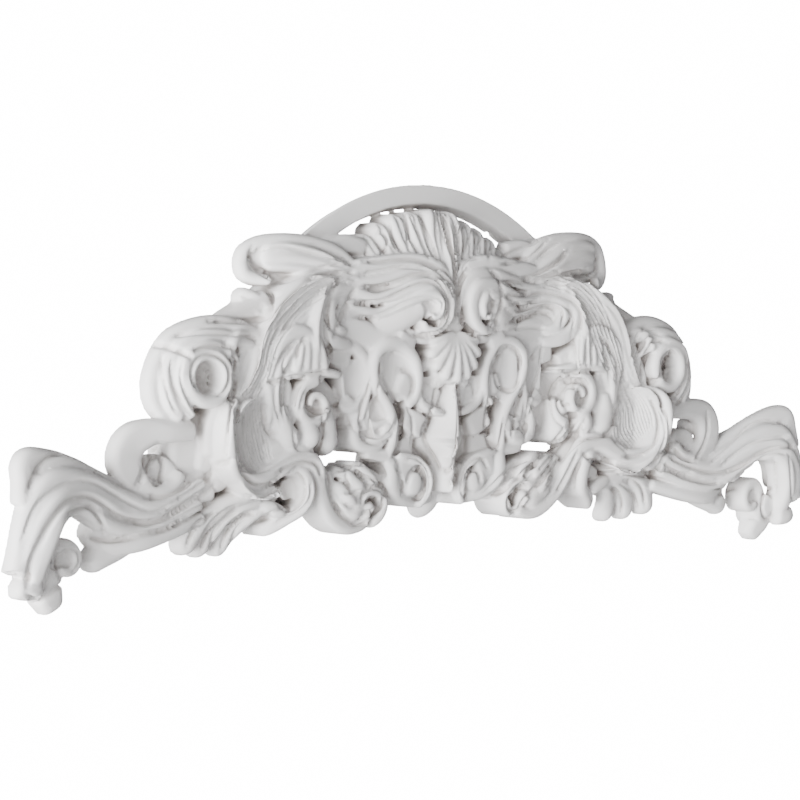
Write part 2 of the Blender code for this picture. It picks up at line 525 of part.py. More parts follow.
# Small open curl between the fingers and the foot of the main scroll
def small_curl():
    hook = [[197, -62, 4, 44], [194, -54, 5, 48], [182, -52, 6, 52], [171, -58, 6, 54],
            [166, -72, 6, 53], [170, -85, 6, 49], [182, -93, 6.5, 43], [194, -101, 6.5, 35],
            [201, -104, 6, 27]]
    return [
        stroke(hook, edge=5, ends=(4, 3)),
        stroke([[182, -62, 10, 40], [176, -78, 10, 42]], kind="cove", depth=6, edge=3, ends=(6, 6)),
        stroke([[211, -79, 4, 42], [199, -84, 6, 44], [185, -90, 5, 44]], edge=4),
        stroke([[200, -88, 10, 22], [182, -94, 9, 26]], edge=4),
    ]


# One half of the ornament, for out > 0. The two halves differ a little, as a carver leaves them
def half_of_strokes(side):
    right = side > 0
    parts = ground() + arch() + crest(0.0 if right else LIFTS["crest"]) + centre_scroll() + shell()
    parts += pendant() + hairpins() + foot_scrolls() + rose()
    parts += shoulder_leaf(LIFTS["leaf"] if right else 0.0) + main_stem() + main_scroll() + bud()
    parts += side_scroll() + loop() + wing(LIFTS["wing"] if right else 0.0) + fingers() + small_curl()
    return parts


# One mesh of all the strokes of both halves, in metres in the object's own frame
def stroke_mesh(name):
    vertices = []
    faces = []
    for side in (1, -1):
        for points, polygons in half_of_strokes(side):
            first = sum(len(block) for block in vertices)
            placed = np.empty_like(points)
            placed[:, 0] = side * points[:, 0] * MODULE
            placed[:, 1] = -points[:, 2] * RELIEF_MODULE
            placed[:, 2] = points[:, 1] * MODULE
            vertices.append(placed)
            for polygon in polygons:
                ring = [first + corner for corner in polygon]
                faces.append(ring if side > 0 else ring[::-1])
    mesh = bpy.data.meshes.new(name)
    mesh.from_pydata(np.vstack(vertices).tolist(), [], faces)
    return mesh


# The object's mesh as its modifiers leave it, with the modifiers then taken off
def bake_modifiers(item):
    graph = bpy.context.evaluated_depsgraph_get()
    graph.update()
    baked = bpy.data.meshes.new_from_object(item.evaluated_get(graph))
    item.modifiers.clear()
    item.data = baked


# Keep the outer shell only: sealed pockets between strokes become solid
def keep_outer_shell(mesh):
    work = bmesh.new()
    work.from_mesh(mesh)
    work.verts.ensure_lookup_table()
    unseen = set(work.verts)
    shells = []
    while unseen:
        seed = unseen.pop()
        shell_verts = [seed]
        queue = [seed]
        while queue:
            here = queue.pop()
            for edge in here.link_edges:
                other = edge.other_vert(here)
                if other in unseen:
                    unseen.remove(other)
                    shell_verts.append(other)
                    queue.append(other)
        shells.append(shell_verts)
    shells.sort(key=len)
    for extra in shells[:-1]:
        bmesh.ops.delete(work, geom=extra, context="VERTS")
    work.to_mesh(mesh)
    work.free()


# Matt white primer over the cast body
def primed_white():
    material = bpy.data.materials.new("primed_white")
    material.use_nodes = True
    shader = material.node_tree.nodes["Principled BSDF"]
    shader.inputs["Base Color"].default_value = (0.86, 0.85, 0.84, 1.0)
    shader.inputs["Roughness"].default_value = 0.6
    shader.inputs["Metallic"].default_value = 0.0
    return material


# Box behind the back plane that trims the strokes to a flat back
def back_cutter():
    size = 2 * OVERALL_WIDTH
    bpy.ops.mesh.primitive_cube_add(size=size, location=(0.0, size / 2, 0.0))
    cutter = bpy.context.object
    cutter.name = "back_cutter"
    cutter.hide_render = True
    cutter.display_type = "WIRE"
    return cutter


def scroll_onlay():
    item = bpy.data.objects.new("scroll_onlay", stroke_mesh("scroll_onlay"))
    bpy.context.collection.objects.link(item)
    fuse = item.modifiers.new("fuse strokes", "REMESH")
    fuse.mode = "VOXEL"
    fuse.voxel_size = CARVING_GRAIN
    bake_modifiers(item)
    keep_outer_shell(item.data)
    thin = item.modifiers.new("thin out", "DECIMATE")
    thin.ratio = min(1.0, TRIANGLE_TARGET / (2 * len(item.data.polygons)))
    bake_modifiers(item)
    trim = item.modifiers.new("flat back", "BOOLEAN")
    trim.operation = "DIFFERENCE"
    trim.object = back_cutter()
    item.data.materials.append(primed_white())
    return item


for leftover in list(bpy.data.objects):
    bpy.data.objects.remove(leftover)
scroll_onlay()
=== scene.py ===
# Scroll onlay: the cast carving with its fine relief, primed matt white, in a plain white studio.
# The carving is drawn in modules, as a carver sets out a full-size drawing. Each stroke is a row of
# (out from the axis, up, half width, top above the back); one module is about a millimetre.

import bmesh
import bpy
import numpy as np
from math import cos, pi, radians, sin
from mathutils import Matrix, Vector


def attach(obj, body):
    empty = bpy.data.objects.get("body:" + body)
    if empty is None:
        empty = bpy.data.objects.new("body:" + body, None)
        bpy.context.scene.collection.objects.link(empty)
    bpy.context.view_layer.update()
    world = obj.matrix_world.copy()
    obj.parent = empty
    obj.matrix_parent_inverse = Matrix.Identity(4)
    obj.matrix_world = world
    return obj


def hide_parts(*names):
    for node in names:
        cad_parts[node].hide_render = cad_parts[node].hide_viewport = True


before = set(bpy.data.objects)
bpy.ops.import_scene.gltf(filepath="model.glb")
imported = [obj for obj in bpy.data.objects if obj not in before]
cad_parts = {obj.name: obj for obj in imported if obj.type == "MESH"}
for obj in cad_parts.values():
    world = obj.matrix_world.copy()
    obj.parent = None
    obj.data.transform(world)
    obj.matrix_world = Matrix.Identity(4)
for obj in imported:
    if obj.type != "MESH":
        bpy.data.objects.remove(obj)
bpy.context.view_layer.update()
print("frame loaded")

carving = {
    "width": 0.914,          # overall width in metres
    "relief": 0.079,         # greatest height above the back
    "widthModules": 937.3,
    "reliefModules": 82.6,
    "backAllowance": 5.0,    # how far strokes run behind the back plane, in modules
    "roundness": 3.0,        # default roundness of a stroke's top edges
    "grain": 0.0012,         # fineness of the carved surface
    "quickGrain": 1.6,
    "softening": 2,          # passes of smoothing, as a mould and primer leave it
    "triangles": 196000,
}
# How much higher the left crest, the right shoulder leaf and the right wing stand, in modules
lifts = {"crest": 9.0, "leaf": 10.0, "wing": 8.0}

module = carving["width"] / carving["widthModules"]
reliefModule = carving["relief"] / carving["reliefModules"]


# Smooth curve through rows of values
def spline(rows, stepsPerSpan=8):
    rows = np.array(rows, dtype=float)
    padded = np.vstack([2 * rows[0] - rows[1], rows, 2 * rows[-1] - rows[-2]])
    share = np.linspace(0.0, 1.0, stepsPerSpan, endpoint=False)[:, None]
    spans = []
    for index in range(len(rows) - 1):
        before, start, end, after = padded[index:index + 4]
        linear = (end - before) / 2
        square = before - 2.5 * start + 2 * end - after / 2
        cube = (after - before) / 2 + 1.5 * (start - end)
        spans.append(start + share * (linear + share * (square + share * cube)))
    spans.append(rows[-1:])
    return np.vstack(spans)


# Rows along a spiral: radius, half width and top run evenly from the first value to the last
def volute(centre, radius, angles, halfWidth, top, points=12):
    share = np.linspace(0.0, 1.0, points)
    angle = np.radians(angles[0] + (angles[1] - angles[0]) * share)
    reach = radius[0] + (radius[1] - radius[0]) * share
    rows = np.empty((points, 4))
    rows[:, 0] = centre[0] + reach * np.cos(angle)
    rows[:, 1] = centre[1] + reach * np.sin(angle)
    rows[:, 2] = halfWidth[0] + (halfWidth[1] - halfWidth[0]) * share
    rows[:, 3] = top[0] + (top[1] - top[0]) * share
    return rows.tolist()


# Depth below the top across a stroke, for across = -1 at one edge and 1 at the other
def sectionDip(across, kind, count, depth):
    if kind == "reeds":
        return depth * (1 - np.abs(np.sin(pi * count * (across + 1) / 2)) ** 0.7)
    if kind == "cove":
        return depth * (1 - across ** 2)
    if kind == "keel":
        return depth * np.abs(across)
    return np.zeros_like(across)


# Closed swept solid: a stroke of carving along a path, from behind the back plane to its top
def stroke(rows, kind="plain", count=1, depth=0.0, edge=carving["roundness"], tilt=0.0,
           base=-carving["backAllowance"], thick=0.0, ends=(4.0, 4.0)):
    path = spline(rows)
    plan = path[:, :2]
    halfWidth = np.maximum(path[:, 2], 0.4)
    top = path[:, 3]
    heading = np.gradient(plan, axis=0)
    heading /= np.linalg.norm(heading, axis=1)[:, None] + 1e-9
    normal = np.stack([heading[:, 1], -heading[:, 0]], axis=1)
    travelled = np.concatenate([[0.0], np.cumsum(np.linalg.norm(np.diff(plan, axis=0), axis=1))])
    remaining = travelled[-1] - travelled
    taper = np.ones(len(path))
    for length, distance in ((ends[0], travelled), (ends[1], remaining)):
        if length > 0:
            short = np.clip(1 - distance / length, 0.0, 1.0)
            taper = np.minimum(taper, np.sqrt(np.maximum(1 - short ** 2, 0.003)))
    width = halfWidth * taper
    acrossCount = max(9, 4 * count * 2 + 1) if kind == "reeds" else 13
    across = np.sin(np.linspace(-pi / 2, pi / 2, acrossCount))
    rounding = np.minimum(edge, halfWidth)[:, None]
    past = np.clip((np.abs(across)[None, :] - 1) * halfWidth[:, None] + rounding, 0, None)
    drop = rounding - np.sqrt(np.maximum(rounding ** 2 - past ** 2, 0))
    dip = sectionDip(across, kind, count, depth)[None, :] * np.ones((len(path), 1))
    heights = top[:, None] - drop - dip + tilt * across[None, :]
    heights -= ((1 - taper) * np.minimum(edge, halfWidth))[:, None]
    offsets = width[:, None] * across[None, :]
    level = np.array([0.75, 0.5, 0.25, 0.0])
    foot = (top - thick if thick else np.full(len(path), float(base)))[:, None]
    nearWall = foot + (heights[:, -1:] - foot) * level
    farWall = foot + (heights[:, :1] - foot) * level[::-1]
    wall = width[:, None] * np.ones((1, len(level)))
    offsets = np.hstack([offsets, wall, -wall])
    heights = np.hstack([heights, nearWall, farWall])
    points = np.empty(offsets.shape + (3,))
    points[..., 0] = plan[:, 0:1] + normal[:, 0:1] * offsets
    points[..., 1] = plan[:, 1:2] + normal[:, 1:2] * offsets
    points[..., 2] = heights
    return gridSolid(points)


# Vertices and faces of a tube of sections, closed round and with both ends capped
def gridSolid(points):
    count, ring = points.shape[:2]
    vertices = points.reshape(-1, 3)
    row, column = np.meshgrid(np.arange(count - 1), np.arange(ring), indexing="ij")
    following = (column + 1) % ring
    quads = np.stack([row * ring + column, row * ring + following,
                      (row + 1) * ring + following, (row + 1) * ring + column], axis=-1)
    faces = quads.reshape(-1, 4).tolist()
    faces.append(list(range(ring))[::-1])
    faces.append(list(range((count - 1) * ring, count * ring)))
    return vertices, faces


# A leaf or finger lobe with a round end: a tapering stroke with one smooth rounded back
def lobe(start, end, bend=0.0, widths=(4.0, 8.0), tops=(45.0, 30.0), **options):
    start = np.array(start, dtype=float)
    end = np.array(end, dtype=float)
    along = end - start
    side = np.array([along[1], -along[0]]) * bend
    middle = (start + end) / 2 + side
    midWidth = 0.45 * widths[0] + 0.55 * widths[1]
    midTop = 0.4 * tops[0] + 0.6 * tops[1]
    rows = [[*start, widths[0], tops[0]], [*middle, midWidth, midTop + 2],
            [*end, widths[1], tops[1]]]
    options.setdefault("edge", max(widths))
    options.setdefault("ends", (2.0, 1.2 * widths[1]))
    return stroke(rows, **options)


# Ring of carving round an oval opening
def ovalRing(centre, radii, halfWidth, top, slant=0.0, **options):
    angle = np.linspace(0, 2 * pi, 17)
    rows = np.empty((17, 4))
    rows[:, 0] = centre[0] + radii[0] * np.cos(angle) + slant * np.sin(angle)
    rows[:, 1] = centre[1] + radii[1] * np.sin(angle)
    rows[:, 2] = halfWidth
    rows[:, 3] = top
    options.setdefault("ends", (0.0, 0.0))
    return stroke(rows.tolist(), **options)


# Undercut strokes: below a height they draw in by a share towards the root they grow from
def drawnIn(parts, root, share, height):
    for vertices, polygons in parts:
        low = np.clip(1 - vertices[:, 2:3] / height, 0, 1)
        vertices[:, :2] += (np.array(root) - vertices[:, :2]) * np.array(share) * low
    return parts


# Low ground behind the carving that ties the strokes together, set in from the outline
def ground():
    slabs = [
        [[0, 84, 76, 26], [60, 84, 60, 26], [110, 88, 34, 26], [150, 84, 26, 28]],
        [[0, 10, 44, 24], [50, 14, 40, 24], [90, 16, 30, 22], [116, 18, 24, 22]],
        [[0, -40, 40, 24], [36, -44, 38, 24], [66, -50, 30, 22]],
        [[60, -74, 16, 24], [90, -78, 16, 26], [118, -82, 12, 26]],
        [[140, 60, 36, 30], [176, 40, 40, 34], [200, -2, 40, 34], [214, -34, 24, 34]],
        [[130, 20, 30, 28], [150, -8, 28, 28], [176, -30, 18, 28]],
        [[210, 40, 34, 34], [246, 28, 34, 34], [262, -6, 22, 34], [262, -40, 20, 30]],
        [[226, -62, 16, 26], [270, -74, 15, 28], [330, -78, 15, 32], [366, -70, 13, 40]],
    ]
    return [stroke(rows, edge=2, ends=(4, 12)) for rows in slabs]


# Plain band that arches over the crest
def arch():
    radius, centreUp, halfAngle = 218.0, -35.6, 43.0
    rows = []
    for angle in np.radians(np.linspace(0, halfAngle, 7)):
        width = 8.7 + 2.6 * (angle / radians(halfAngle)) ** 2
        rows.append([radius * sin(angle), centreUp + radius * cos(angle), width, 14.0])
    rows.insert(0, [-6.0, rows[0][1], rows[0][2], 14.0])
    rows += [[150, 112, 14, 14]]
    return drawnIn([stroke(rows, edge=1.2, ends=(0, 0))], (0, centreUp), (0.02, 0.02), 14)


# Leafy crest under the arch, and the ribs on the axis that run down between the volutes
def crest(lift):
    tips = [(84, 136, 9, 20), (68, 146, 9.5, 22), (50, 154, 10, 24), (31, 160, 10.5, 27),
            (9, 167, 10.5, 31)]
    roots = [(62, 112), (46, 114), (32, 115), (19, 115), (7, 114)]
    parts = []
    for (out, up, width, top), root in zip(tips, roots):
        raised = up + lift * min(1.0, out / 50)
        parts.append(lobe(root, (out, raised), bend=0.1, widths=(5, width), tops=(46, top + 5),
                          kind="reeds", count=2, depth=3, edge=7))
    parts.append(stroke([[0, 167, 8, 33], [0, 148, 8, 42], [0, 118, 6.5, 50], [0, 88, 5.5, 52],
                         [0, 60, 6.5, 50]], kind="reeds", count=2, depth=4, edge=4, ends=(8, 3)))
    parts.append(stroke([[0, 118, 12, 44], [0, 60, 13, 46]], edge=4))
    parts.append(stroke([[74, 124, 12, 20], [50, 132, 16, 22], [20, 136, 20, 26], [0, 138, 20, 28]],
                        edge=4))
    parts.append(stroke([[84, 132, 8, 30], [106, 135, 9, 31], [128, 128, 10, 32]],
                        edge=5, thick=16))
    return parts


# Reeded ribbon: a curl at its outer end, and at its inner end the large volute with a hooked eye
def centreScroll():
    brow = [[125, 108, 5, 42], [104, 115, 7, 45], [75, 119, 7, 48], [47, 122, 6.5, 50],
            [21, 119, 6, 50], [7.3, 108, 5, 50], [0.4, 94, 4, 50]]
    collar = [[121, 97, 5, 42], [105, 101, 5, 46], [77, 105, 5.5, 50], [54, 110, 6, 53],
              [32, 111, 6, 55], [16.9, 106, 6, 56], [6, 95, 5, 56], [0.1, 80, 4.5, 55],
              [0.2, 66, 4, 53]]
    rim = [[112, 50, 4, 44], [134, 52, 6, 50], [150, 60, 6.5, 52], [158, 75, 6.5, 53],
           [152, 88, 6.5, 52], [134, 96, 6, 48], [112, 96, 5, 45],
           [91, 89, 5, 50], [71, 93, 5, 55], [52, 100, 5.5, 59], [33, 102, 6, 61],
           [19.5, 98, 6, 62], [13.6, 87, 6, 62], [14.5, 76, 5.5, 62], [21, 67, 5, 61],
           [30, 62, 4.5, 60], [38, 63, 4, 58], [42, 70, 3, 57]]
    second = [[118, 60, 3.5, 44], [133, 64, 5, 48], [142, 74, 5.5, 51], [139, 84, 5.5, 50],
              [124, 88, 5, 45],
              [91, 77, 4.5, 46], [74, 80, 5, 51], [59, 87, 5, 57], [45, 92, 5, 61], [32, 92, 5, 63],
              [25, 86, 4.5, 64], [25, 79, 4, 64], [30, 74, 3.5, 63], [37, 75, 3, 62]]
    cheek = [[90, 62, 8, 40], [76, 66, 11, 47], [62, 72, 12, 53], [49, 78, 11, 57], [40, 82, 8, 60]]
    parts = [stroke(rows, edge=4, ends=(5, 3), thick=26) for rows in (brow, collar, rim, second)]
    parts.append(stroke(cheek, edge=11, ends=(8, 7)))
    parts.append(stroke([[112, 78, 3, 36], [126, 80, 5, 41], [132, 75, 4, 42], [124, 70, 4, 40],
                         [112, 69, 3, 36]], edge=4))
    parts.append(stroke([[55, 62, 4, 46], [39, 55, 5, 50], [17.2, 54, 4, 50]], edge=4))
    parts.append(stroke([[100, 80, 14, 38], [140, 74, 18, 42]], edge=4))
    parts.append(stroke([[40, 72, 20, 56], [36, 90, 20, 57]], edge=8, ends=(16, 16)))
    parts.append(stroke([[130, 58, 14, 40], [104, 60, 14, 42], [84, 54, 12, 44], [60, 58, 12, 46]],
                        edge=6))
    parts.append(stroke([[120, 104, 12, 40], [90, 104, 14, 42], [60, 106, 16, 46],
                         [30, 108, 14, 48]], edge=6))
    return parts


# Fluted shell below the volutes, with its lip
def shell():
    parts = []
    for index, reach in enumerate((46, 45, 42, 38, 32)):
        angle = radians(18.5 * index)
        tip = (reach * sin(angle), 60 - reach * cos(angle))
        parts.append(lobe((0.5 * index, 60), tip, widths=(1.2, 5.4), tops=(53, 57 - index), edge=5))
    parts.append(lobe((20, 40), (34, 26), widths=(4, 6), tops=(44, 44)))
    parts.append(stroke([[0, 17, 4, 53], [12, 20, 4, 51], [24, 25, 3, 48]], edge=4))
    return parts


# Keeled pendant leaf on the axis, with the smaller leaf under it and the knob at its foot
def pendant():
    return [
        stroke([[0, 22, 9, 50], [0, 4, 13, 54], [0, -14, 21, 55], [0, -30, 29, 55],
                [0, -40, 29, 54], [0, -50, 18, 51], [0, -57, 8, 46]],
               kind="keel", depth=27, edge=2, ends=(3, 3), thick=42),
        stroke([[0, -46, 13, 50], [0, -60, 13, 50], [0, -76, 9, 48], [0, -82, 4, 46]], kind="keel",
               depth=16, edge=2, ends=(3, 2)),
        lobe((0, -78), (0, -107), widths=(13, 14), tops=(26, 15)),
    ]


# Hairpin loops of ribbon on either side of the pendant, closed behind, and the leaves under them
def hairpins():
    inner = [[53, -5.6, 4, 46], [43, 3.5, 4.5, 48], [40, 20, 5, 50], [46, 38, 5, 51],
             [60, 49, 5.5, 51], [76, 50, 5.5, 51], [88, 42, 5, 50], [91, 28, 4.5, 49],
             [86, 12.4, 4.5, 48], [76, 0.5, 4.5, 48], [68, -13.4, 5, 47], [65, -29, 5, 45],
             [67, -46, 5.5, 42], [67, -60, 5, 38]]
    lower = [[92, 26, 3.5, 46], [95, 8.3, 4, 44], [100, -7.7, 4.5, 43], [107, -22, 5, 42],
             [104, -34, 5.5, 42], [90, -38, 5.5, 43], [77, -32, 5, 44], [71, -17.5, 4.5, 46]]
    outer = [[123, 44, 3, 40], [112, 49, 5, 43], [100, 41, 5, 44], [93, 25, 4.5, 44],
             [95, 7.2, 4.5, 43], [105, -2.8, 5, 42], [116, -3.9, 4.5, 40], [122, 4, 3, 38]]
    flank = [[42, 30, 3.5, 46], [40, 12.4, 4, 47], [34, -1.5, 4, 47], [21, -8.4, 4, 48],
             [8.4, -11.4, 3, 48]]
    parts = [stroke(rows, edge=4.5, ends=(5, 3)) for rows in (inner, lower, outer, flank)]
    bowls = [[[66, -2, 17, 46], [64, 45, 20, 47]], [[74, -28, 15, 43], [84, 6, 13, 43]],
             [[106, 0, 13, 40], [110, 38, 12, 40]], [[28, -4, 14, 44], [30, 22, 13, 46]]]
    parts += [stroke(rows, kind="cove", depth=6, edge=2, ends=(8, 8)) for rows in bowls]
    parts += [
        stroke([[52, 2, 16, 44], [46, 24, 12, 46]], edge=5),
        stroke([[18, 14, 12, 43], [24, -6, 10, 42]], edge=5),
        stroke([[68, -26, 2.5, 45], [81, -31, 3, 44], [94, -32, 2, 42]], edge=3),
        stroke([[69, -15.6, 2.5, 44], [82, -18.7, 3, 43], [93, -17.8, 2, 41]], edge=3),
        lobe((118, 6), (106, -22), bend=0.2, widths=(5, 8), tops=(40, 36), base=14),
        lobe((100, -28), (74, -44), bend=0.15, widths=(5, 7), tops=(36, 36)),
        stroke([[68, -46, 6, 41], [84, -45, 6, 41], [96, -44, 5, 40]], edge=4, thick=10),
        stroke([[50, -30, 16, 36], [48, -52, 14, 34]], edge=6),
    ]
    return parts


# Ribbons that run down to the foot on either side of the pendant, and curl round flat lenses
def footScrolls():
    barrel = [[69, -44, 5, 40], [66, -57, 7.5, 44], [64, -71, 8, 43], [51, -83, 7, 38],
              [27, -88, 6, 31], [2.6, -85, 6, 26]]
    crown = [[61, -46, 3.5, 43], [47, -49, 4, 44], [34, -53, 4, 44], [23, -63, 4, 43],
             [19.8, -76, 4, 41], [23, -87, 4, 37], [29, -93, 4, 33]]
    return [
        stroke(barrel, edge=7, ends=(6, 3)),
        stroke(crown, edge=4, ends=(4, 3)),
        stroke([[38, -60, 13, 41], [38, -84, 13, 38]], kind="cove", depth=-3, edge=6,
               ends=(12, 12)),
        stroke([[12, -80, 9, 28], [30, -84, 8, 28]], edge=6),
        stroke([[20, -56, 8, 36], [22, -72, 8, 36]], edge=5),
        stroke([[46, -50, 13, 41], [52, -72, 10, 41]], edge=5),
    ]


# Rose at the foot: the ribbon's curl round an almond eye, and the reeded leaf that folds into it
def rose():
    hook = [[88, -106, 5, 36], [78, -99, 5, 40], [75, -88, 5, 43], [82, -78, 5, 45],
            [95, -77, 4.5, 46], [105, -83, 4, 46]]
    cup = [[152, -62, 4, 40], [146, -76, 5, 42], [137, -88, 5, 42], [123, -97, 5, 41],
           [106, -100, 4, 40]]
    folds = [
        [[133, -56, 4, 42], [123, -59, 5, 46], [113, -65, 5.5, 48], [103, -73, 5, 48]],
        [[135, -68, 4, 42], [127, -71, 5, 46], [119, -79, 5.5, 48], [111, -88, 5, 47]],
        [[131, -82, 4, 42], [124, -85, 5, 45], [116, -92, 4, 45]],
        [[115, -52, 4, 42], [105, -55, 5, 46], [94, -63, 5, 47], [87, -72, 4, 46]],
    ]
    parts = [stroke(rows, edge=5, ends=(4, 5), thick=24) for rows in folds]
    parts += [stroke(rows, edge=4.5, ends=(5, 3)) for rows in (hook, cup)]
    parts.append(stroke([[124, -68, 15, 41], [110, -80, 20, 45], [94, -84, 15, 45]], edge=10,
                        ends=(10, 10)))
    parts.append(lobe((102, -90), (88, -90), widths=(5, 5), tops=(44, 46)))
    parts.append(stroke([[114, -56, 5, 32], [94, -62, 9, 36], [73, -74, 10, 35], [62, -91, 7, 28]],
                        kind="reeds", count=4, depth=3, edge=6, base=6))
    return parts


# Broad shoulder leaf over the main scroll: its rolled rim, ridged face and the lobe that steps down
def shoulderLeaf(lift):
    rim = [[104, 116, 5, 38], [122, 128, 6, 38], [147, 135, 6, 37], [174, 137, 6, 35],
           [196, 135, 6, 31], [211, 128, 6, 28], [216, 118, 6.5, 28], [215, 109, 6, 30],
           [206, 104, 5.5, 34], [196, 103, 4, 40]]
    face = [[101, 104, 8, 44], [129, 113, 10, 46], [154, 120, 12, 43], [181, 123, 13, 39],
            [202, 121, 11, 33]]
    under = [[123, 102, 6, 44], [153, 104, 8, 47], [174, 97, 9, 48], [195, 84, 8, 49]]
    tongue = [[192, 64, 6, 48], [206, 74, 9, 46], [214, 84, 11, 41], [221, 89, 9, 37],
              [227, 91, 6, 34]]
    raised = [
        stroke(face, kind="reeds", count=3, depth=2.5, edge=5, ends=(3, 8), thick=18),
        stroke(rim, edge=6, ends=(6, 3), thick=12),
        stroke([[104, 116, 14, 26], [150, 120, 18, 27], [186, 118, 16, 25], [210, 116, 11, 24]],
               edge=4, thick=12),
    ]
    for points, _ in raised:
        points[:, 1] += lift * np.clip((points[:, 1] - 100) / 30, 0, 1)
    return raised + [
        stroke(under, edge=5, ends=(4, 6)),
        stroke(tongue, kind="reeds", count=2, depth=3, edge=5, ends=(4, 5), thick=14),
        stroke([[110, 110, 16, 24], [166, 104, 18, 26], [182, 98, 14, 26]], edge=4),
        stroke([[170, 76, 20, 32], [192, 72, 18, 32], [206, 70, 14, 32]], edge=4),
        stroke([[196, 84, 14, 42], [222, 72, 14, 42], [246, 60, 14, 44]], edge=8, thick=22),
    ]


# Stem of the main scroll: it comes from under the shoulder leaf and tapers to a point on the scroll
def mainStem():
    blade = [[137, 101, 6, 53], [161, 98, 9, 54], [184, 86, 10, 55], [202, 71, 10, 56],
             [212, 53, 10, 56], [219, 33, 9, 56], [230, 15.7, 6, 55], [245, 4.7, 2, 52]]
    body = [[140, 86, 10, 50], [161, 80, 12, 51], [181, 68, 13, 52], [195, 50, 13, 52],
            [203, 26, 12, 52], [210, 4.6, 14, 51]]
    return [
        stroke(blade, kind="reeds", count=3, depth=2.5, edge=3, tilt=-3, ends=(4, 8)),
        stroke(body, kind="reeds", count=4, depth=2, edge=3, ends=(4, 10)),
    ]


# Main scroll: tall rim, smooth crescent, striated hollow, and the ribbon that runs on to the foot
def mainScroll():
    rim = [[247, 7, 3, 60], [259, -0.4, 4, 69], [264, -11.9, 5, 73], [263, -31, 5.5, 73],
           [257, -47, 6, 70], [241, -57, 7, 64], [222, -58, 8, 60], [205, -52, 8, 58],
           [188, -44, 8, 57], [173, -42, 8, 56], [160, -49, 7.5, 54], [151, -63, 7, 50],
           [145, -79, 7, 46], [133, -95, 7, 42], [117, -105, 6.5, 40], [100, -105, 6, 39],
           [88, -99, 5, 40]]
    crescent = [[228, 6, 4, 54], [242, -5, 9, 59], [247, -25, 12, 60], [245, -45, 12, 59],
                [235, -60, 10, 57], [222, -67, 8, 56], [203, -65, 7, 55]]
    hollow = [[192, 40, 14, 51], [206, 18, 18, 51], [218, 0, 23, 51], [227, -18, 26, 51],
              [226, -36, 24, 51], [216, -50, 16, 52]]
    return [
        stroke(rim, edge=5, ends=(6, 3), thick=34),
        stroke(crescent, edge=2, tilt=-9, ends=(8, 4), thick=30),
        stroke(hollow, kind="reeds", count=9, depth=1.6, edge=2, tilt=-2, ends=(8, 8)),
        stroke([[214, -42, 14, 52], [190, -38, 13, 52], [164, -38, 10, 50]], edge=3, ends=(6, 6)),
        stroke([[148, -52, 12, 30], [138, -78, 12, 28], [120, -94, 11, 26]], edge=4),
    ]


# Bud under the shoulder: hood, hanging feather tips, drop leaf, small volute and petals
def bud():
    hood = [[210, -15.1, 3, 53], [208, 4.8, 4, 54], [212, 23, 5, 55], [209, 38, 6, 56],
            [200, 52, 6.5, 57], [186, 60, 6.5, 57], [172, 59, 6, 57], [165, 50, 4, 56]]
    sleeve = [[202, -15, 3, 54], [204, 4.8, 4, 55], [202, 25, 4, 56], [193, 40, 4, 56],
              [180, 51, 4, 56]]
    drop = [[140, 106, 4, 50], [153, 90, 6, 55], [162, 68, 7, 58], [163, 48, 7, 59],
            [158, 31, 6, 57]]
    parts = [
        stroke(hood, edge=4, ends=(8, 4)),
        stroke(sleeve, edge=3, ends=(8, 4)),
        stroke(drop, edge=6, ends=(5, 4), kind="keel", depth=4),
        stroke(volute((160, 0), (21, 4), (100, -380), (6, 2.5), (54, 52), 20), edge=4.5),
        stroke([[160, -14, 12, 44], [162, 16, 12, 44]], edge=8, ends=(8, 8)),
        stroke([[198, 24, 3, 55], [178, 27, 4, 57], [155, 28, 4, 56], [128, 24, 3, 50]], edge=4),
        stroke([[176, 44, 12, 46], [160, 36, 14, 46], [140, 26, 12, 44]], edge=4),
        lobe((196, 4), (180, -36), bend=-0.15, widths=(7, 13), tops=(52, 58)),
        lobe((168, -12), (164, -37), widths=(9, 12), tops=(52, 58)),
        lobe((142, 0), (141, -44), widths=(10, 12), tops=(44, 50)),
    ]
    for index in range(4):
        out = 185 - 10.5 * index
        parts.append(lobe((176 - 5 * index, 62), (out, 26), widths=(3, 5.5), tops=(54, 58)))
    return parts


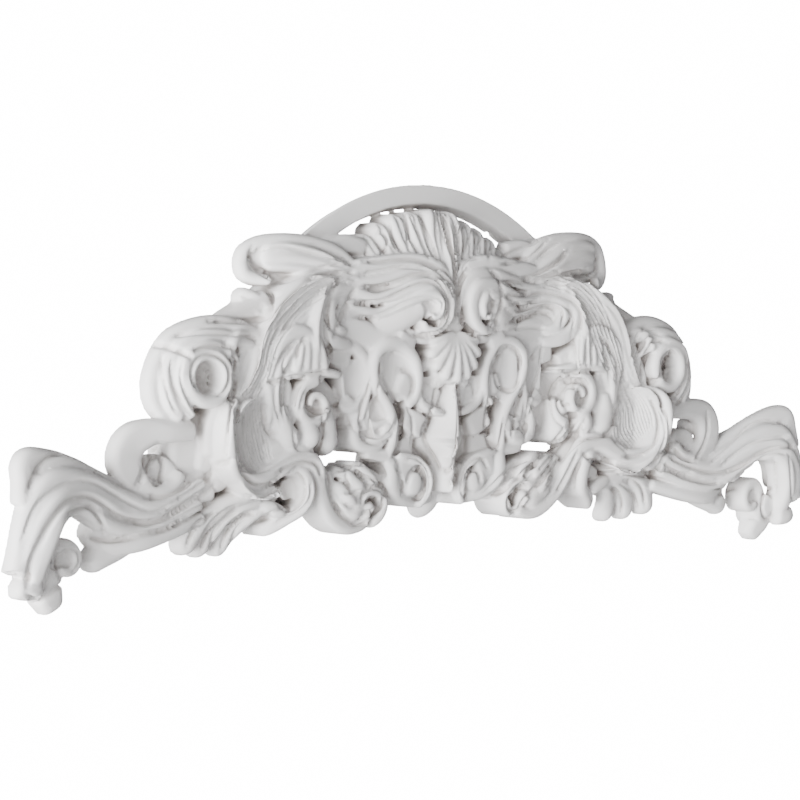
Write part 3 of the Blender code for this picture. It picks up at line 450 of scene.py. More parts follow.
# Side scroll with its open eye, the reeded leaf that wraps it and the stem leaf beside it
def sideScroll():
    eye = (277, 25)
    bands = [
        ([[218, 60, 4, 50], [240, 66, 6, 51], [261, 68, 7, 50], [283, 64, 7, 48], [300, 56, 7, 46],
          [311, 42, 7, 45], [319, 24, 7, 46], [319, 6.5, 6.5, 48], [312, -7.2, 5, 52]], 7),
        ([[223, 50, 4, 52], [247, 56, 6, 55], [270, 58, 6, 56], [289, 54, 6.5, 55],
          [302, 44, 6.5, 54], [310, 27, 6.5, 54], [309, 6.8, 6, 56], [300, -7.9, 5, 57]], 5),
        ([[242, 36, 3, 54], [255, 46, 4.5, 58], [271, 50, 5, 60], [286, 47, 5.5, 61],
          [298, 39, 5.5, 61], [302, 23, 5, 60], [298, 7, 5, 60], [290, -6.9, 4, 58]], 4),
    ]
    parts = [stroke(rows, edge=edge, ends=(4, 3), thick=thick)
             for (rows, edge), thick in zip(bands, (14, 22, 26))]
    parts += [
        ovalRing(eye, (19, 19), 5.5, 62, edge=5, base=24),
        stroke([[266, 25, 13, 46], [288, 25, 13, 46]], kind="cove", depth=10, edge=2, base=20),
        stroke([[215, 50, 16, 40], [250, 44, 17, 40], [272, 22, 18, 38]], edge=6, base=10),
        stroke([[314, -7.2, 4, 52], [306, -12, 6, 55], [294, -12.9, 4.5, 56]], edge=5, base=36),
        lobe((226, 60), (258, 40), bend=-0.2, widths=(4, 6), tops=(50, 60), base=30),
    ]
    stemLeaf = [
        stroke([[259, 10.9, 4, 58], [264, -3, 8, 57], [267, -18.9, 9.5, 55], [263, -39, 9, 51]],
               edge=5, ends=(4, 5), thick=22),
        stroke([[254, -0.7, 2, 62], [257, -18.6, 3.5, 60], [254, -37, 3, 56]],
               edge=3, ends=(6, 5), thick=24),
        stroke([[257, -43, 8, 48], [255, -57, 10, 46], [251, -68, 8, 43]],
               edge=6, ends=(5, 6), thick=22),
        stroke([[216, 64, 6, 50], [230, 46, 9, 50], [241, 26, 9, 51], [249, 6.8, 5, 54]],
               kind="reeds", count=2, depth=2, edge=3, ends=(6, 6)),
        stroke([[282, 2, 14, 40], [287, -30, 15, 42], [280, -58, 15, 42], [262, -70, 12, 40]],
               edge=6, base=8),
    ]
    return parts + stemLeaf


# Loop of broad ribbon between the side scroll and the wing, curling in on itself to a small bowl
def loop():
    rows = [[285, -16.8, 8, 56], [308, -16.8, 9, 57], [326, -16.9, 11, 55], [342, -23, 14, 53],
            [349, -36, 15, 52], [345, -50, 13, 53], [332, -60, 9, 54], [319, -65, 8, 55],
            [305, -60, 7, 54], [296, -49, 6, 52]]
    disc = stroke([[312, -35, 14, 46], [314, -50, 17, 48], [312, -66, 14, 48]],
                  kind="cove", depth=4, edge=7, ends=(10, 10), base=24)
    return [stroke(rows, edge=7, ends=(4, 3), thick=14), disc,
            stroke([[300, -68, 12, 40], [330, -70, 12, 42], [350, -64, 10, 44]], edge=6, base=14)]


# End wing: long ribs that hump up and turn down into a rolled lip, with a curl tucked behind
def wing(lift):
    ribs = [
        ([[353, -59, 5, 50], [384, -49, 8, 56], [408, -41, 10, 62], [430, -36, 11, 66],
          [448, -36, 12, 69], [452, -49, 10, 72], [456, -68, 8, 75]], 7, 13),
        ([[271, -59, 5, 50], [302, -68, 8, 55], [336, -74, 9, 58], [367, -65, 10, 62],
          [394, -55, 11, 68], [417, -50, 11, 73], [436, -54, 11, 76], [451, -72, 10, 77],
          [458, -93, 9, 77], [460, -117, 9, 73]], 7, 14),
        ([[270, -65, 3, 48], [312, -77, 5, 55], [350, -80, 6, 59], [376, -70, 6.5, 65],
          [405, -60, 7, 72], [428, -63, 7, 79], [444, -78, 7, 81], [453, -99, 8, 79],
          [455, -119, 8, 71]], 5, 26),
        ([[273, -75, 4, 50], [313, -87, 5, 56], [350, -91, 6, 59], [376, -83, 6, 64],
          [405, -70, 6, 72], [428, -74, 7.5, 81], [439, -91, 8, 82], [444, -109, 8, 77],
          [443, -126, 7, 68]], 6, 28),
        ([[267, -87, 5, 44], [301, -95, 7, 50], [336, -102, 8, 53], [360, -103, 8, 50],
          [371, -100, 5, 46]], 7, 22),
    ]
    parts = [stroke(rows, edge=edge, ends=(4, 4), thick=thick) for rows, edge, thick in ribs]
    parts.append(stroke([[290, -80, 16, 38], [335, -80, 17, 42], [368, -66, 15, 50],
                         [400, -56, 14, 56], [430, -62, 12, 62], [442, -82, 10, 64],
                         [446, -106, 9, 64]], edge=6, ends=(6, 10), thick=20))
    curl = [
        stroke([[461, -126, 8, 68], [450, -129, 8, 70], [436, -129, 8, 68]], edge=8, ends=(5, 4),
               base=54),
        stroke([[436, -112, 12, 60], [424, -132, 13, 57], [414, -150, 9, 50]], edge=7, base=36),
        stroke(volute((409, -112), (18, 6), (-80, 330), (7, 3), (55, 57), 16), edge=6, base=30),
        stroke([[409, -124, 13, 50], [409, -100, 13, 50]], edge=8, ends=(8, 8), base=30),
        stroke([[330, -96, 10, 44], [352, -104, 12, 46], [370, -112, 11, 46], [380, -122, 8, 44]],
               edge=8, ends=(8, 7), base=30),
        stroke([[350, -82, 16, 46], [368, -90, 14, 46], [380, -102, 9, 44]], edge=6, base=30),
    ]
    for points, _ in parts + curl:
        points[:, 1] += (lift * np.clip((points[:, 0] - 340) / 90, 0, 1)
                         * np.clip((points[:, 1] + 140) / 50, 0, 1))
    return parts + curl


# Fingers that sweep out and down below the main scroll
def fingers():
    sweeps = [
        [[214, -70, 5, 46], [240, -76, 8, 46], [263, -88, 10.5, 42], [275, -103, 10.5, 36],
         [279, -119, 9, 32]],
        [[208, -77, 5, 42], [231, -84, 8, 41], [248, -97, 10, 34], [256, -110, 10, 27],
         [258, -123, 8, 23]],
        [[202, -83, 5, 40], [217, -90, 7, 38], [229, -102, 9.5, 29], [234, -113, 9, 22],
         [235, -124, 7.5, 19]],
    ]
    parts = [stroke(rows, edge=10, ends=(4, 9), thick=18) for rows in sweeps]
    parts.append(stroke([[206, -76, 10, 24], [230, -84, 12, 22], [244, -94, 10, 18]], edge=5))
    return parts


# Small open curl between the fingers and the foot of the main scroll
def smallCurl():
    hook = [[197, -62, 4, 44], [194, -54, 5, 48], [182, -52, 6, 52], [171, -58, 6, 54],
            [166, -72, 6, 53], [170, -85, 6, 49], [182, -93, 6.5, 43], [194, -101, 6.5, 35],
            [201, -104, 6, 27]]
    return [
        stroke(hook, edge=5, ends=(4, 3)),
        stroke([[182, -62, 10, 40], [176, -78, 10, 42]], kind="cove", depth=6, edge=3, ends=(6, 6)),
        stroke([[211, -79, 4, 42], [199, -84, 6, 44], [185, -90, 5, 44]], edge=4),
        stroke([[200, -88, 10, 22], [182, -94, 9, 26]], edge=4),
    ]


# Fillets that close the smallest gaps between neighbouring strokes
def fillets():
    deep = [
        [[190, 22, 8, 49], [189, 0, 8, 49], [184, -18, 8, 49]],
        [[248, 8, 6, 54], [248, -18, 6, 54]],
        [[196, -66, 9, 36], [190, -80, 9, 36]], [[122, 50, 14, 40], [124, 30, 12, 40]],
        [[140, -54, 8, 42], [137, -72, 8, 42], [128, -86, 8, 42]],
        [[100, -90, 8, 44], [88, -92, 8, 44]],
        [[98, -8, 8, 40], [96, -26, 8, 40]], [[66, 56, 8, 50], [44, 48, 8, 50]],
        [[0, 72, 14, 50], [0, 60, 14, 50]], [[8, 18, 6, 48], [22, 16, 6, 48]],
        [[34, -8, 14, 42], [44, -30, 14, 42]],
    ]
    floating = [
        [[268, -30, 8, 48], [272, -52, 8, 46]], [[260, -66, 8, 46], [280, -70, 8, 46]],
        [[334, -26, 9, 38], [332, -44, 9, 38]],
        [[372, -84, 9, 58], [388, -78, 7, 58], [396, -76, 5, 58]],
    ]
    return ([stroke(rows, edge=5, ends=(5, 5)) for rows in deep]
            + [stroke(rows, edge=4, ends=(5, 5), thick=12) for rows in floating])


# One half of the ornament, drawn for the right. The two halves differ a little, as a carver
# leaves them
def halfOfStrokes(side):
    right = side > 0
    parts = ground() + arch() + crest(0.0 if right else lifts["crest"]) + centreScroll() + shell()
    parts += pendant() + hairpins() + footScrolls() + rose()
    parts += shoulderLeaf(lifts["leaf"] if right else 0.0) + mainStem() + mainScroll() + bud()
    parts += sideScroll() + loop() + wing(lifts["wing"] if right else 0.0) + fingers() + smallCurl()
    parts += fillets()
    return parts


# Both halves' strokes as one point array and one face list, scaled from modules to metres
def strokeMesh(name):
    blocks = []
    faces = []
    first = 0
    for side in (1, -1):
        for points, polygons in halfOfStrokes(side):
            blocks.append(points * np.array([side * module, module, reliefModule]))
            faces += [[first + corner for corner in polygon][::side] for polygon in polygons]
            first += len(points)
    points = np.vstack(blocks)
    placed = np.stack([points[:, 0], -points[:, 2], points[:, 1]], axis=1)
    mesh = bpy.data.meshes.new(name)
    mesh.from_pydata(placed.tolist(), [], faces)
    return mesh


# Lines cut into the carving, traced as (across, up) in the oblique drawing of the half that they
# are on, in groups of one depth and width in modules. The right half is drawn mirrored
cutLines = {
    "left": [
        (4.0, 2.1, [  # wing, loop and side scroll
            [(-433, -58), (-428, -48), (-421, -38), (-409, -31), (-398, -30)],
            [(-434, -130), (-431, -112), (-423, -97), (-414, -83), (-398, -68), (-379, -65),
             (-364, -72), (-352, -81), (-329, -88), (-310, -87), (-290, -79), (-266, -66)],
            [(-399, -80), (-391, -75), (-377, -73), (-370, -79), (-366, -87), (-364, -95)],
            [(-381, -96), (-368, -99), (-348, -100), (-325, -97), (-306, -95), (-285, -87)],
            [(-435, -135), (-427, -141), (-418, -139), (-407, -133), (-398, -130)],
            [(-331, -60), (-325, -47), (-320, -35), (-312, -27)],
            [(-319, -54), (-314, -58), (-310, -54), (-308, -43), (-312, -35), (-318, -39),
             (-320, -48)],
            [(-325, -68), (-306, -69), (-290, -64), (-278, -56)],
            [(-321, 51), (-312, 51), (-298, 48), (-281, 42), (-279, 38)],
            [(-281, 46), (-267, 49), (-252, 50), (-237, 48), (-236, 38), (-236, 15), (-238, -4)],
            [(-273, 15), (-279, 27), (-275, 38), (-263, 43), (-250, 40), (-242, 33), (-241, 21),
             (-248, 12), (-258, 11)],
        ]),
        (2.4, 1.6, [
            [(-439, -95), (-428, -72), (-414, -60), (-395, -53), (-375, -54), (-358, -62),
             (-340, -72), (-318, -80), (-298, -76)],
            [(-404, -95), (-409, -112), (-416, -129), (-421, -136)],
            [(-404, -108), (-398, -105), (-389, -106), (-386, -114), (-391, -121), (-398, -123)],
            [(-456, -120), (-447, -119), (-437, -121)],
            [(-336, -62), (-328, -48), (-323, -36)],
            [(-299, 57), (-283, 60), (-256, 60), (-225, 58), (-212, 54)],
            [(-308, 44), (-309, 31), (-304, 15), (-298, 2), (-292, -4)],
            [(-298, 42), (-300, 31), (-296, 15), (-287, 2), (-277, -8)],
            [(-288, 38), (-291, 27), (-287, 15), (-279, 2), (-271, -6)],
            [(-298, -73), (-279, -65), (-263, -55), (-258, -48)],
            [(-310, -82), (-283, -75), (-263, -67), (-256, -59)],
            [(-340, -86), (-310, -88), (-283, -82), (-260, -75)],
        ]),
        (4.0, 2.1, [  # shoulder leaf, stem, main scroll and bud
            [(-217, 131), (-220, 121), (-213, 113), (-204, 108), (-194, 104)],
            [(-262, 70), (-236, 70), (-212, 71), (-200, 77), (-197, 88), (-203, 96)],
            [(-110, 111), (-148, 108), (-165, 100), (-183, 86), (-198, 73), (-208, 63), (-211, 50),
             (-214, 30), (-226, 10)],
            [(-205, 6), (-206, -9), (-201, -21), (-192, -23)],
            [(-235, -2), (-233, -28), (-229, -50), (-217, -62), (-204, -65), (-192, -61),
             (-186, -55)],
            [(-192, -55), (-175, -50), (-160, -48), (-148, -51), (-143, -63)],
            [(-258, -46), (-244, -44), (-236, -41)],
            [(-248, -44), (-244, -21), (-240, -2), (-240, 10)],
            [(-171, 35), (-169, 46), (-163, 54), (-156, 56)],
            [(-206, 19), (-190, 21), (-175, 23), (-156, 25), (-133, 27)],
            [(-162, -2), (-148, -6), (-133, -4), (-125, 4)],
            [(-120, 108), (-131, 96), (-137, 77), (-138, 58), (-133, 38)],
            [(-285, -111), (-279, -98), (-267, -88), (-252, -84)],
            [(-271, -115), (-267, -103), (-258, -92), (-244, -84), (-229, -80)],
            [(-251, -117), (-247, -103), (-238, -94), (-225, -88), (-213, -88)],
            [(-190, -65), (-192, -75), (-186, -84), (-175, -86), (-165, -78), (-163, -67),
             (-167, -59), (-175, -57)],
            [(-138, -55), (-134, -75), (-124, -92), (-107, -103), (-88, -103)],
        ]),
        (2.4, 1.6, [
            [(-213, 127), (-186, 131), (-160, 127), (-120, 121)],
            [(-193, 101), (-179, 104), (-160, 110), (-130, 117), (-104, 119)],
            [(-228, -51), (-213, -53), (-198, -51), (-183, -46), (-167, -41), (-152, -39)],
            [(-225, -73), (-210, -75), (-196, -69), (-190, -63)],
            [(-156, -63), (-156, -78), (-167, -88), (-183, -94), (-197, -97)],
            [(-183, 21), (-185, 35), (-179, 46), (-171, 52)],
            [(-192, 21), (-194, 4), (-188, -15)],
            [(-187, 20), (-187, 4), (-184, -13)],
            [(-181, 19), (-183, 4), (-179, -12)],
            [(-175, -4), (-171, 12), (-163, 19)],
            [(-169, -8), (-163, 8), (-156, 15)],
            [(-175, -19), (-171, -35), (-160, -38), (-148, -37), (-143, -23), (-142, -4)],
            [(-208, -92), (-190, -86), (-179, -84)],
            [(-261, -115), (-258, -101), (-246, -90), (-231, -84)],
            [(-240, -118), (-238, -105), (-231, -96), (-219, -92)],
        ]),
        (4.0, 2.1, [  # crest, volutes, hairpins, pendant and rose
            [(-97, 121), (-75, 121), (-49, 123), (-26, 121), (-7, 113), (5, 102), (12, 88)],
            [(-100, 99), (-80, 99), (-57, 104), (-38, 110), (-18, 110), (-3, 100), (5, 85), (3, 69),
             (-7, 60), (-26, 57), (-42, 58)],
            [(-111, 85), (-92, 85), (-72, 88), (-53, 96), (-34, 102), (-18, 104), (-7, 99), (1, 88),
             (-1, 73), (-11, 67), (-20, 71), (-18, 77)],
            [(-130, 57), (-122, 73), (-113, 88), (-103, 99)],
            [(-5, 167), (-1, 150), (8, 131), (12, 112), (14, 88), (12, 69)],
            [(-57, 27), (-47, 27), (-40, 20), (-40, 10), (-45, 4)],
            [(-88, 21), (-97, 2), (-101, -13), (-97, -23)],
            [(-53, -9), (-55, -25), (-57, -40), (-65, -50)],
            [(-11, 14), (-15, -2), (-22, -17), (-28, -28), (-22, -42), (-11, -55), (-5, -65)],
            [(-7, -59), (3, -63), (14, -50)],
            [(-47, -76), (-43, -63), (-32, -59), (-26, -71), (-32, -84), (-43, -84)],
            [(-99, -88), (-97, -78), (-88, -73), (-76, -75), (-73, -82), (-78, -90), (-90, -94),
             (-101, -94)],
            [(-109, -55), (-99, -63), (-84, -67), (-74, -75)],
            [(-132, -59), (-118, -55), (-95, -51), (-80, -55), (-70, -67)],
        ]),
        (2.4, 1.6, [
            [(-100, 110), (-76, 113), (-46, 117), (-18, 113), (-3, 106), (5, 94), (8, 81)],
            [(-107, 73), (-88, 73), (-68, 79), (-49, 86), (-30, 90), (-15, 90), (-5, 87), (-5, 81),
             (-11, 76), (-18, 77)],
            [(-118, 69), (-115, 81), (-105, 90)],
            [(-88, 142), (-78, 146), (-70, 140), (-72, 131), (-82, 125)],
            [(-68, 158), (-65, 142), (-57, 129)],
            [(-53, 167), (-47, 150), (-45, 131)],
            [(-45, 165), (-36, 150), (-26, 135), (-20, 123)],
            [(-34, 163), (-26, 150), (-16, 135), (-11, 123)],
            [(-11, 167), (-7, 154), (1, 138), (10, 123)],
            [(5, 163), (8, 146), (16, 123), (18, 92), (17, 69)],
            [(-76, 25), (-67, 10), (-59, -3), (-58, -17), (-65, -32)],
            [(-76, 21), (-84, 2), (-90, -17), (-88, -28)],
            [(-99, -26), (-80, -30), (-65, -25), (-59, -13)],
            [(-97, -32), (-80, -36), (-65, -32)],
            [(-118, -9), (-113, -19), (-101, -26)],
            [(-51, -3), (-41, -13), (-40, -28), (-43, -40)],
            [(-49, -51), (-36, -50), (-24, -59), (-20, -73), (-24, -84)],
            [(-61, -55), (-53, -67), (-53, -82)],
            [(-97, -88), (-90, -82), (-80, -83)],
            [(-115, -55), (-116, -67), (-111, -76)],
            [(-122, -76), (-109, -76), (-97, -75)],
            [(-122, -84), (-111, -88), (-101, -88)],
        ]),
    ],
    "right": [
        (4.0, 2.1, [  # wing, loop and side scroll
            [(-498, -61), (-481, -60), (-460, -61), (-437, -66), (-418, -74), (-395, -80),
             (-375, -82), (-349, -79), (-318, -70), (-300, -62)],
            [(-383, -93), (-356, -91), (-329, -85), (-306, -77), (-290, -68)],
            [(-462, -72), (-464, -87), (-465, -106)],
            [(-460, -101), (-448, -105), (-443, -116), (-447, -130), (-456, -133), (-462, -124)],
            [(-402, -100), (-392, -98), (-375, -105), (-370, -112)],
            [(-357, -22), (-358, -40), (-350, -56), (-338, -68)],
            [(-340, -69), (-321, -65), (-302, -53)],
            [(-295, 49), (-279, 51), (-267, 41), (-260, 28), (-258, 14)],
            [(-311, 35), (-302, 39), (-290, 32), (-288, 20), (-283, 12), (-267, 12)],
            [(-325, 35), (-327, 20), (-321, 8), (-306, -5)],
        ]),
        (2.4, 1.6, [
            [(-472, -36), (-450, -32), (-425, -35), (-400, -48), (-380, -62), (-360, -72)],
            [(-487, -49), (-460, -50), (-430, -53), (-405, -62), (-380, -74)],
            [(-485, -68), (-468, -65), (-452, -67), (-433, -74), (-414, -82), (-400, -89)],
            [(-487, -68), (-489, -83), (-491, -101), (-493, -118)],
            [(-439, -133), (-427, -130), (-416, -130)],
            [(-340, -80), (-317, -80), (-294, -75), (-279, -78)],
            [(-288, 55), (-275, 57), (-260, 47), (-250, 35), (-248, 28)],
            [(-279, 62), (-263, 62), (-252, 55), (-246, 39), (-244, 32)],
            [(-331, 12), (-321, -3), (-306, -15)],
        ]),
        (4.0, 2.1, [  # shoulder leaf, main scroll and bud
            [(-157, 135), (-142, 124), (-119, 114), (-92, 106), (-70, 104)],
            [(-180, 116), (-157, 114), (-134, 112), (-103, 106), (-80, 103)],
            [(-286, -13), (-296, -25), (-300, -40), (-296, -55), (-286, -71), (-271, -78),
             (-252, -79), (-229, -75), (-206, -69), (-186, -60), (-175, -53)],
            [(-269, -5), (-279, -17), (-283, -32), (-279, -46), (-269, -55), (-252, -60),
             (-232, -60)],
            [(-229, -9), (-219, -25), (-215, -36), (-198, -40), (-175, -42), (-156, -51),
             (-140, -67), (-129, -82)],
            [(-194, 24), (-179, 22), (-156, 22), (-125, 26)],
            [(-186, 8), (-175, 14), (-156, 14), (-144, 5), (-142, -7), (-150, -16), (-167, -18),
             (-179, -11)],
            [(-171, 6), (-156, 10), (-148, 3), (-150, -7), (-160, -9)],
            [(-171, -51), (-160, -67), (-148, -82), (-140, -90)],
            [(-265, -109), (-261, -94), (-252, -86), (-235, -83)],
            [(-229, -117), (-231, -105), (-225, -94), (-213, -88)],
        ]),
        (2.4, 1.6, [
            [(-130, 145), (-111, 131), (-92, 124), (-68, 121)],
            [(-122, 147), (-103, 139), (-80, 131), (-65, 127)],
            [(-279, -13), (-288, -23), (-293, -38), (-290, -51), (-279, -65), (-263, -73),
             (-244, -74), (-221, -67), (-206, -61), (-192, -51)],
            [(-181, 16), (-167, 20), (-148, 18), (-135, 8), (-131, -7), (-140, -22), (-156, -30)],
            [(-194, 55), (-188, 43), (-190, 28)],
            [(-183, 58), (-181, 39), (-183, 24)],
            [(-173, 58), (-171, 39), (-175, 24)],
            [(-160, 55), (-167, 35), (-171, 22)],
            [(-186, -34), (-167, -34), (-148, -40), (-120, -55)],
            [(-175, -59), (-165, -75), (-164, -90)],
            [(-254, -113), (-248, -98), (-238, -90), (-225, -85)],
        ]),
        (4.0, 2.1, [  # crest, volutes, hairpins, pendant and rose
            [(-172, 58), (-174, 74), (-165, 87), (-145, 93), (-118, 95), (-91, 93), (-72, 91)],
            [(-147, 64), (-149, 74), (-142, 81), (-122, 83), (-99, 81), (-84, 78)],
            [(-136, 70), (-130, 76), (-115, 77), (-95, 73), (-76, 67)],
            [(-53, 116), (-65, 108), (-70, 93), (-65, 74), (-53, 62)],
            [(-26, 116), (-16, 101), (-16, 78), (-26, 62), (-42, 55)],
            [(1, 166), (-3, 147), (-7, 124), (-11, 101), (-15, 85)],
            [(-93, 27), (-91, 38), (-82, 46), (-70, 45), (-63, 36), (-61, 23), (-66, 11), (-78, 7),
             (-88, 11), (-93, 21)],
            [(-55, 4), (-51, -11), (-49, -27), (-55, -42), (-65, -42), (-70, -31), (-72, -19)],
            [(-11, 15), (-15, -4), (-15, -27), (-9, -50), (-11, -65), (-3, -77)],
            [(-43, -77), (-40, -65), (-30, -63), (-22, -73)],
            [(-116, -61), (-103, -65), (-84, -77), (-68, -84), (-53, -88)],
            [(-107, -81), (-97, -79), (-86, -84), (-78, -94), (-80, -102), (-90, -102), (-99, -92)],
            [(-180, -23), (-161, -42), (-141, -61), (-122, -77), (-103, -90), (-88, -102)],
            [(-157, -27), (-138, -42), (-122, -54)],
        ]),
        (2.4, 1.6, [
            [(-161, 58), (-163, 72), (-153, 83), (-134, 88), (-107, 87), (-80, 85)],
            [(-168, 101), (-145, 104), (-115, 105), (-88, 101)],
            [(-130, 62), (-107, 64), (-80, 62)],
            [(-53, 97), (-57, 85), (-51, 74), (-49, 68)],
            [(-45, 127), (-26, 124), (-18, 112)],
            [(-65, 139), (-55, 135), (-53, 124)],
            [(-57, 147), (-47, 147), (-40, 139), (-40, 128)],
            [(-41, 147), (-32, 149), (-26, 139), (-24, 130)],
            [(-28, 155), (-18, 153), (-15, 139), (-16, 124)],
            [(-15, 158), (-11, 143), (-13, 124), (-15, 105)],
            [(6, 166), (5, 147), (-1, 124), (-7, 101), (-11, 78)],
            [(-61, 38), (-55, 23), (-57, 4), (-65, -4)],
            [(-122, 50), (-118, 27), (-107, 4), (-101, -19), (-99, -42)],
            [(-97, 11), (-90, -4), (-84, -23), (-82, -38)],
            [(-111, -4), (-103, -19), (-88, -23)],
            [(-53, -65), (-45, -54), (-32, -54), (-20, -65), (-18, -81), (-26, -90)],
            [(-111, -56), (-91, -59), (-72, -69), (-57, -79), (-45, -84)],
            [(-115, -69), (-103, -75), (-88, -84), (-76, -96)],
            [(-168, -23), (-149, -40), (-130, -58), (-115, -69)],
        ]),
    ],
}

# Fine parallel lines between two edge lines, as (count, one edge, the other edge)
reeding = {
    "left": [
        (6, [(-110, 110), (-148, 107), (-183, 85), (-207, 63), (-213, 35), (-230, 8)],
         [(-128, 98), (-156, 82), (-175, 66), (-190, 46), (-198, 24), (-212, 4)]),
        (11, [(-236, -2), (-236, -22), (-232, -44), (-224, -56)],
         [(-206, 10), (-206, -6), (-202, -22), (-196, -46)]),
    ],
    "right": [
        (7, [(-120, 119), (-148, 117), (-180, 107), (-205, 87), (-220, 62), (-232, 35), (-238, 8)],
         [(-120, 97), (-142, 92), (-165, 82), (-180, 68), (-190, 50), (-203, 28), (-226, 8)]),
        (14, [(-238, 10), (-262, -4), (-275, -20), (-277, -36)],
         [(-226, 4), (-222, -22), (-216, -42), (-240, -58)]),
    ],
}

cuts = {
    "reedDepth": 1.9,        # depth and width of each line of the reeding, in modules
    "reedWidth": 1.3,
    "fade": 7.0,             # over this length a line fades towards its ends
    "leastFade": 0.25,
    "overlap": 2.0,          # how far each half's lines may run over the axis
    "deepest": 4.0,          # this depth counts as a full cut, which takes the most painted shade in the coat
}

drawing = {
    "turn": 42.26,           # the drawing looks from this far round to the left, in degrees
    "eyeHeight": 72.0,       # height of the eye in the drawing, in modules
    "eyeDistance": 1407.0,   # and its distance from the plane that the drawing is true to
    "truePlane": 38.0,       # height above the back of that plane
    "slant": 0.9495,         # shift across for each module of height
    "cell": 2.0,             # fineness of the test for what lies in front
    "behind": 7.0,           # a point this much farther than what shows is hidden
    "facing": 0.1,           # least cosine between a normal and the way to the eye
}


# Place in the oblique drawing: a point shifts across by its height above the back, and is drawn
# larger by the share that the eye is nearer to it
def inDrawing(points):
    rise = -points[:, 1] / module - drawing["truePlane"]
    across = points[:, 0] / module * (1 + rise / drawing["eyeDistance"]) + drawing["slant"] * rise
    grown = drawing["eyeDistance"] / (drawing["eyeDistance"] - rise)
    up = drawing["eyeHeight"] + (points[:, 2] / module - drawing["eyeHeight"]) * grown
    return np.stack([across, up], axis=1)


# Points that the drawing shows: they face its eye, and nothing in their cell of it is much nearer
def shownInDrawing(points, normals, places):
    turn = radians(drawing["turn"])
    towardsEye = np.array([-sin(turn), -cos(turn), 0.0])
    nearness = points @ towardsEye / module
    cell = np.floor(places / drawing["cell"]).astype(int)
    cell -= cell.min(axis=0)
    index = cell[:, 0] * (cell[:, 1].max() + 1) + cell[:, 1]
    nearest = np.full(index.max() + 1, -np.inf)
    np.maximum.at(nearest, index, nearness)
    facing = normals @ towardsEye > drawing["facing"]
    return facing & (nearness > nearest[index] - drawing["behind"])


# Depth that one line cuts at each place: full on the line, a bell curve to both sides of it, and
# fading towards its ends
def lineDepth(places, line, depth, width):
    path = spline(line, 4)
    along = np.diff(path, axis=0)
    length = np.linalg.norm(along, axis=1)
    middle = np.cumsum(length) - length / 2
    toEnd = np.minimum(middle, length.sum() - middle)
    fade = np.clip(toEnd / cuts["fade"], cuts["leastFade"], 1)
    offset = places[:, None] - path[:-1]
    share = np.clip((offset * along).sum(axis=2) / length ** 2, 0, 1)
    gap = np.linalg.norm(offset - share[:, :, None] * along, axis=2)
    near = gap.argmin(axis=1)
    least = gap[np.arange(len(places)), near]
    return depth * fade[near] * np.exp(-(least / width) ** 2)


# All lines of one half as (line, depth, width): the traced ones, and the reeding, whose lines lie
# at even shares of the way from one edge line to the other
def linesOf(half):
    lines = [(line, depth, width) for depth, width, group in cutLines[half] for line in group]
    for count, edge, otherEdge in reeding[half]:
        start = spline(edge, 3)
        end = spline(otherEdge, 3)
        steps = np.linspace(0, 1, 16)
        start = start[np.round(steps * (len(start) - 1)).astype(int)]
        end = end[np.round(steps * (len(end) - 1)).astype(int)]
        for share in (np.arange(count) + 0.5) / count:
            line = start + share * (end - start)
            lines.append((line, cuts["reedDepth"], cuts["reedWidth"]))
    return lines


# Depth of the cuts at each point, in modules. The half seen from its outer side takes the left
# half's lines and the other half the right ones. Turned over, each half takes the other's
# lines on the sides that the drawing doesn't show
def cutDepths(points, normals):
    depths = np.zeros(len(points))
    seen = np.zeros(len(points), dtype=bool)
    for mirror in (1, -1):
        turned = points * np.array([mirror, 1, 1])
        places = inDrawing(turned)
        shown = shownInDrawing(turned, normals * np.array([mirror, 1, 1]), places) & ~seen
        for half, side in (("left", -1), ("right", 1)):
            chosen = np.flatnonzero(shown & (turned[:, 0] * side > -cuts["overlap"] * module))
            spots = places[chosen] * np.array([-side, 1])
            for line, depth, width in linesOf(half):
                low = np.min(line, axis=0) - 3 * width
                high = np.max(line, axis=0) + 3 * width
                close = np.flatnonzero(((spots > low) & (spots < high)).all(axis=1))
                if len(close):
                    cut = lineDepth(spots[close], line, depth, width)
                    depths[chosen[close]] = np.maximum(depths[chosen[close]], cut)
        seen |= shown
    return depths


# Points and normals of a mesh as two arrays
def surfaceOf(mesh):
    points = np.empty(3 * len(mesh.vertices))
    normals = np.empty(3 * len(mesh.vertices))
    mesh.vertices.foreach_get("co", points)
    mesh.vertices.foreach_get("normal", normals)
    return points.reshape(-1, 3), normals.reshape(-1, 3)


# Cut the lines into the surface, each point moved in along its normal
def cutGrooves(mesh):
    points, normals = surfaceOf(mesh)
    depths = cutDepths(points, normals)[:, None] * module
    mesh.vertices.foreach_set("co", (points - normals * depths).ravel())
    mesh.update()


# Note how deep each point lies in a cut, as the attribute that the coat reads to paint shade into
# the cuts
def markGrooves(mesh):
    points, normals = surfaceOf(mesh)
    depths = cutDepths(points, normals)
    mark = mesh.attributes.new("groove", "FLOAT", "POINT")
    mark.data.foreach_set("value", np.clip(depths / cuts["deepest"], 0, 1))


# The object's mesh as its modifiers leave it, with the modifiers then taken off
def bakeModifiers(piece):
    graph = bpy.context.evaluated_depsgraph_get()
    graph.update()
    baked = bpy.data.meshes.new_from_object(piece.evaluated_get(graph))
    piece.modifiers.clear()
    piece.data = baked


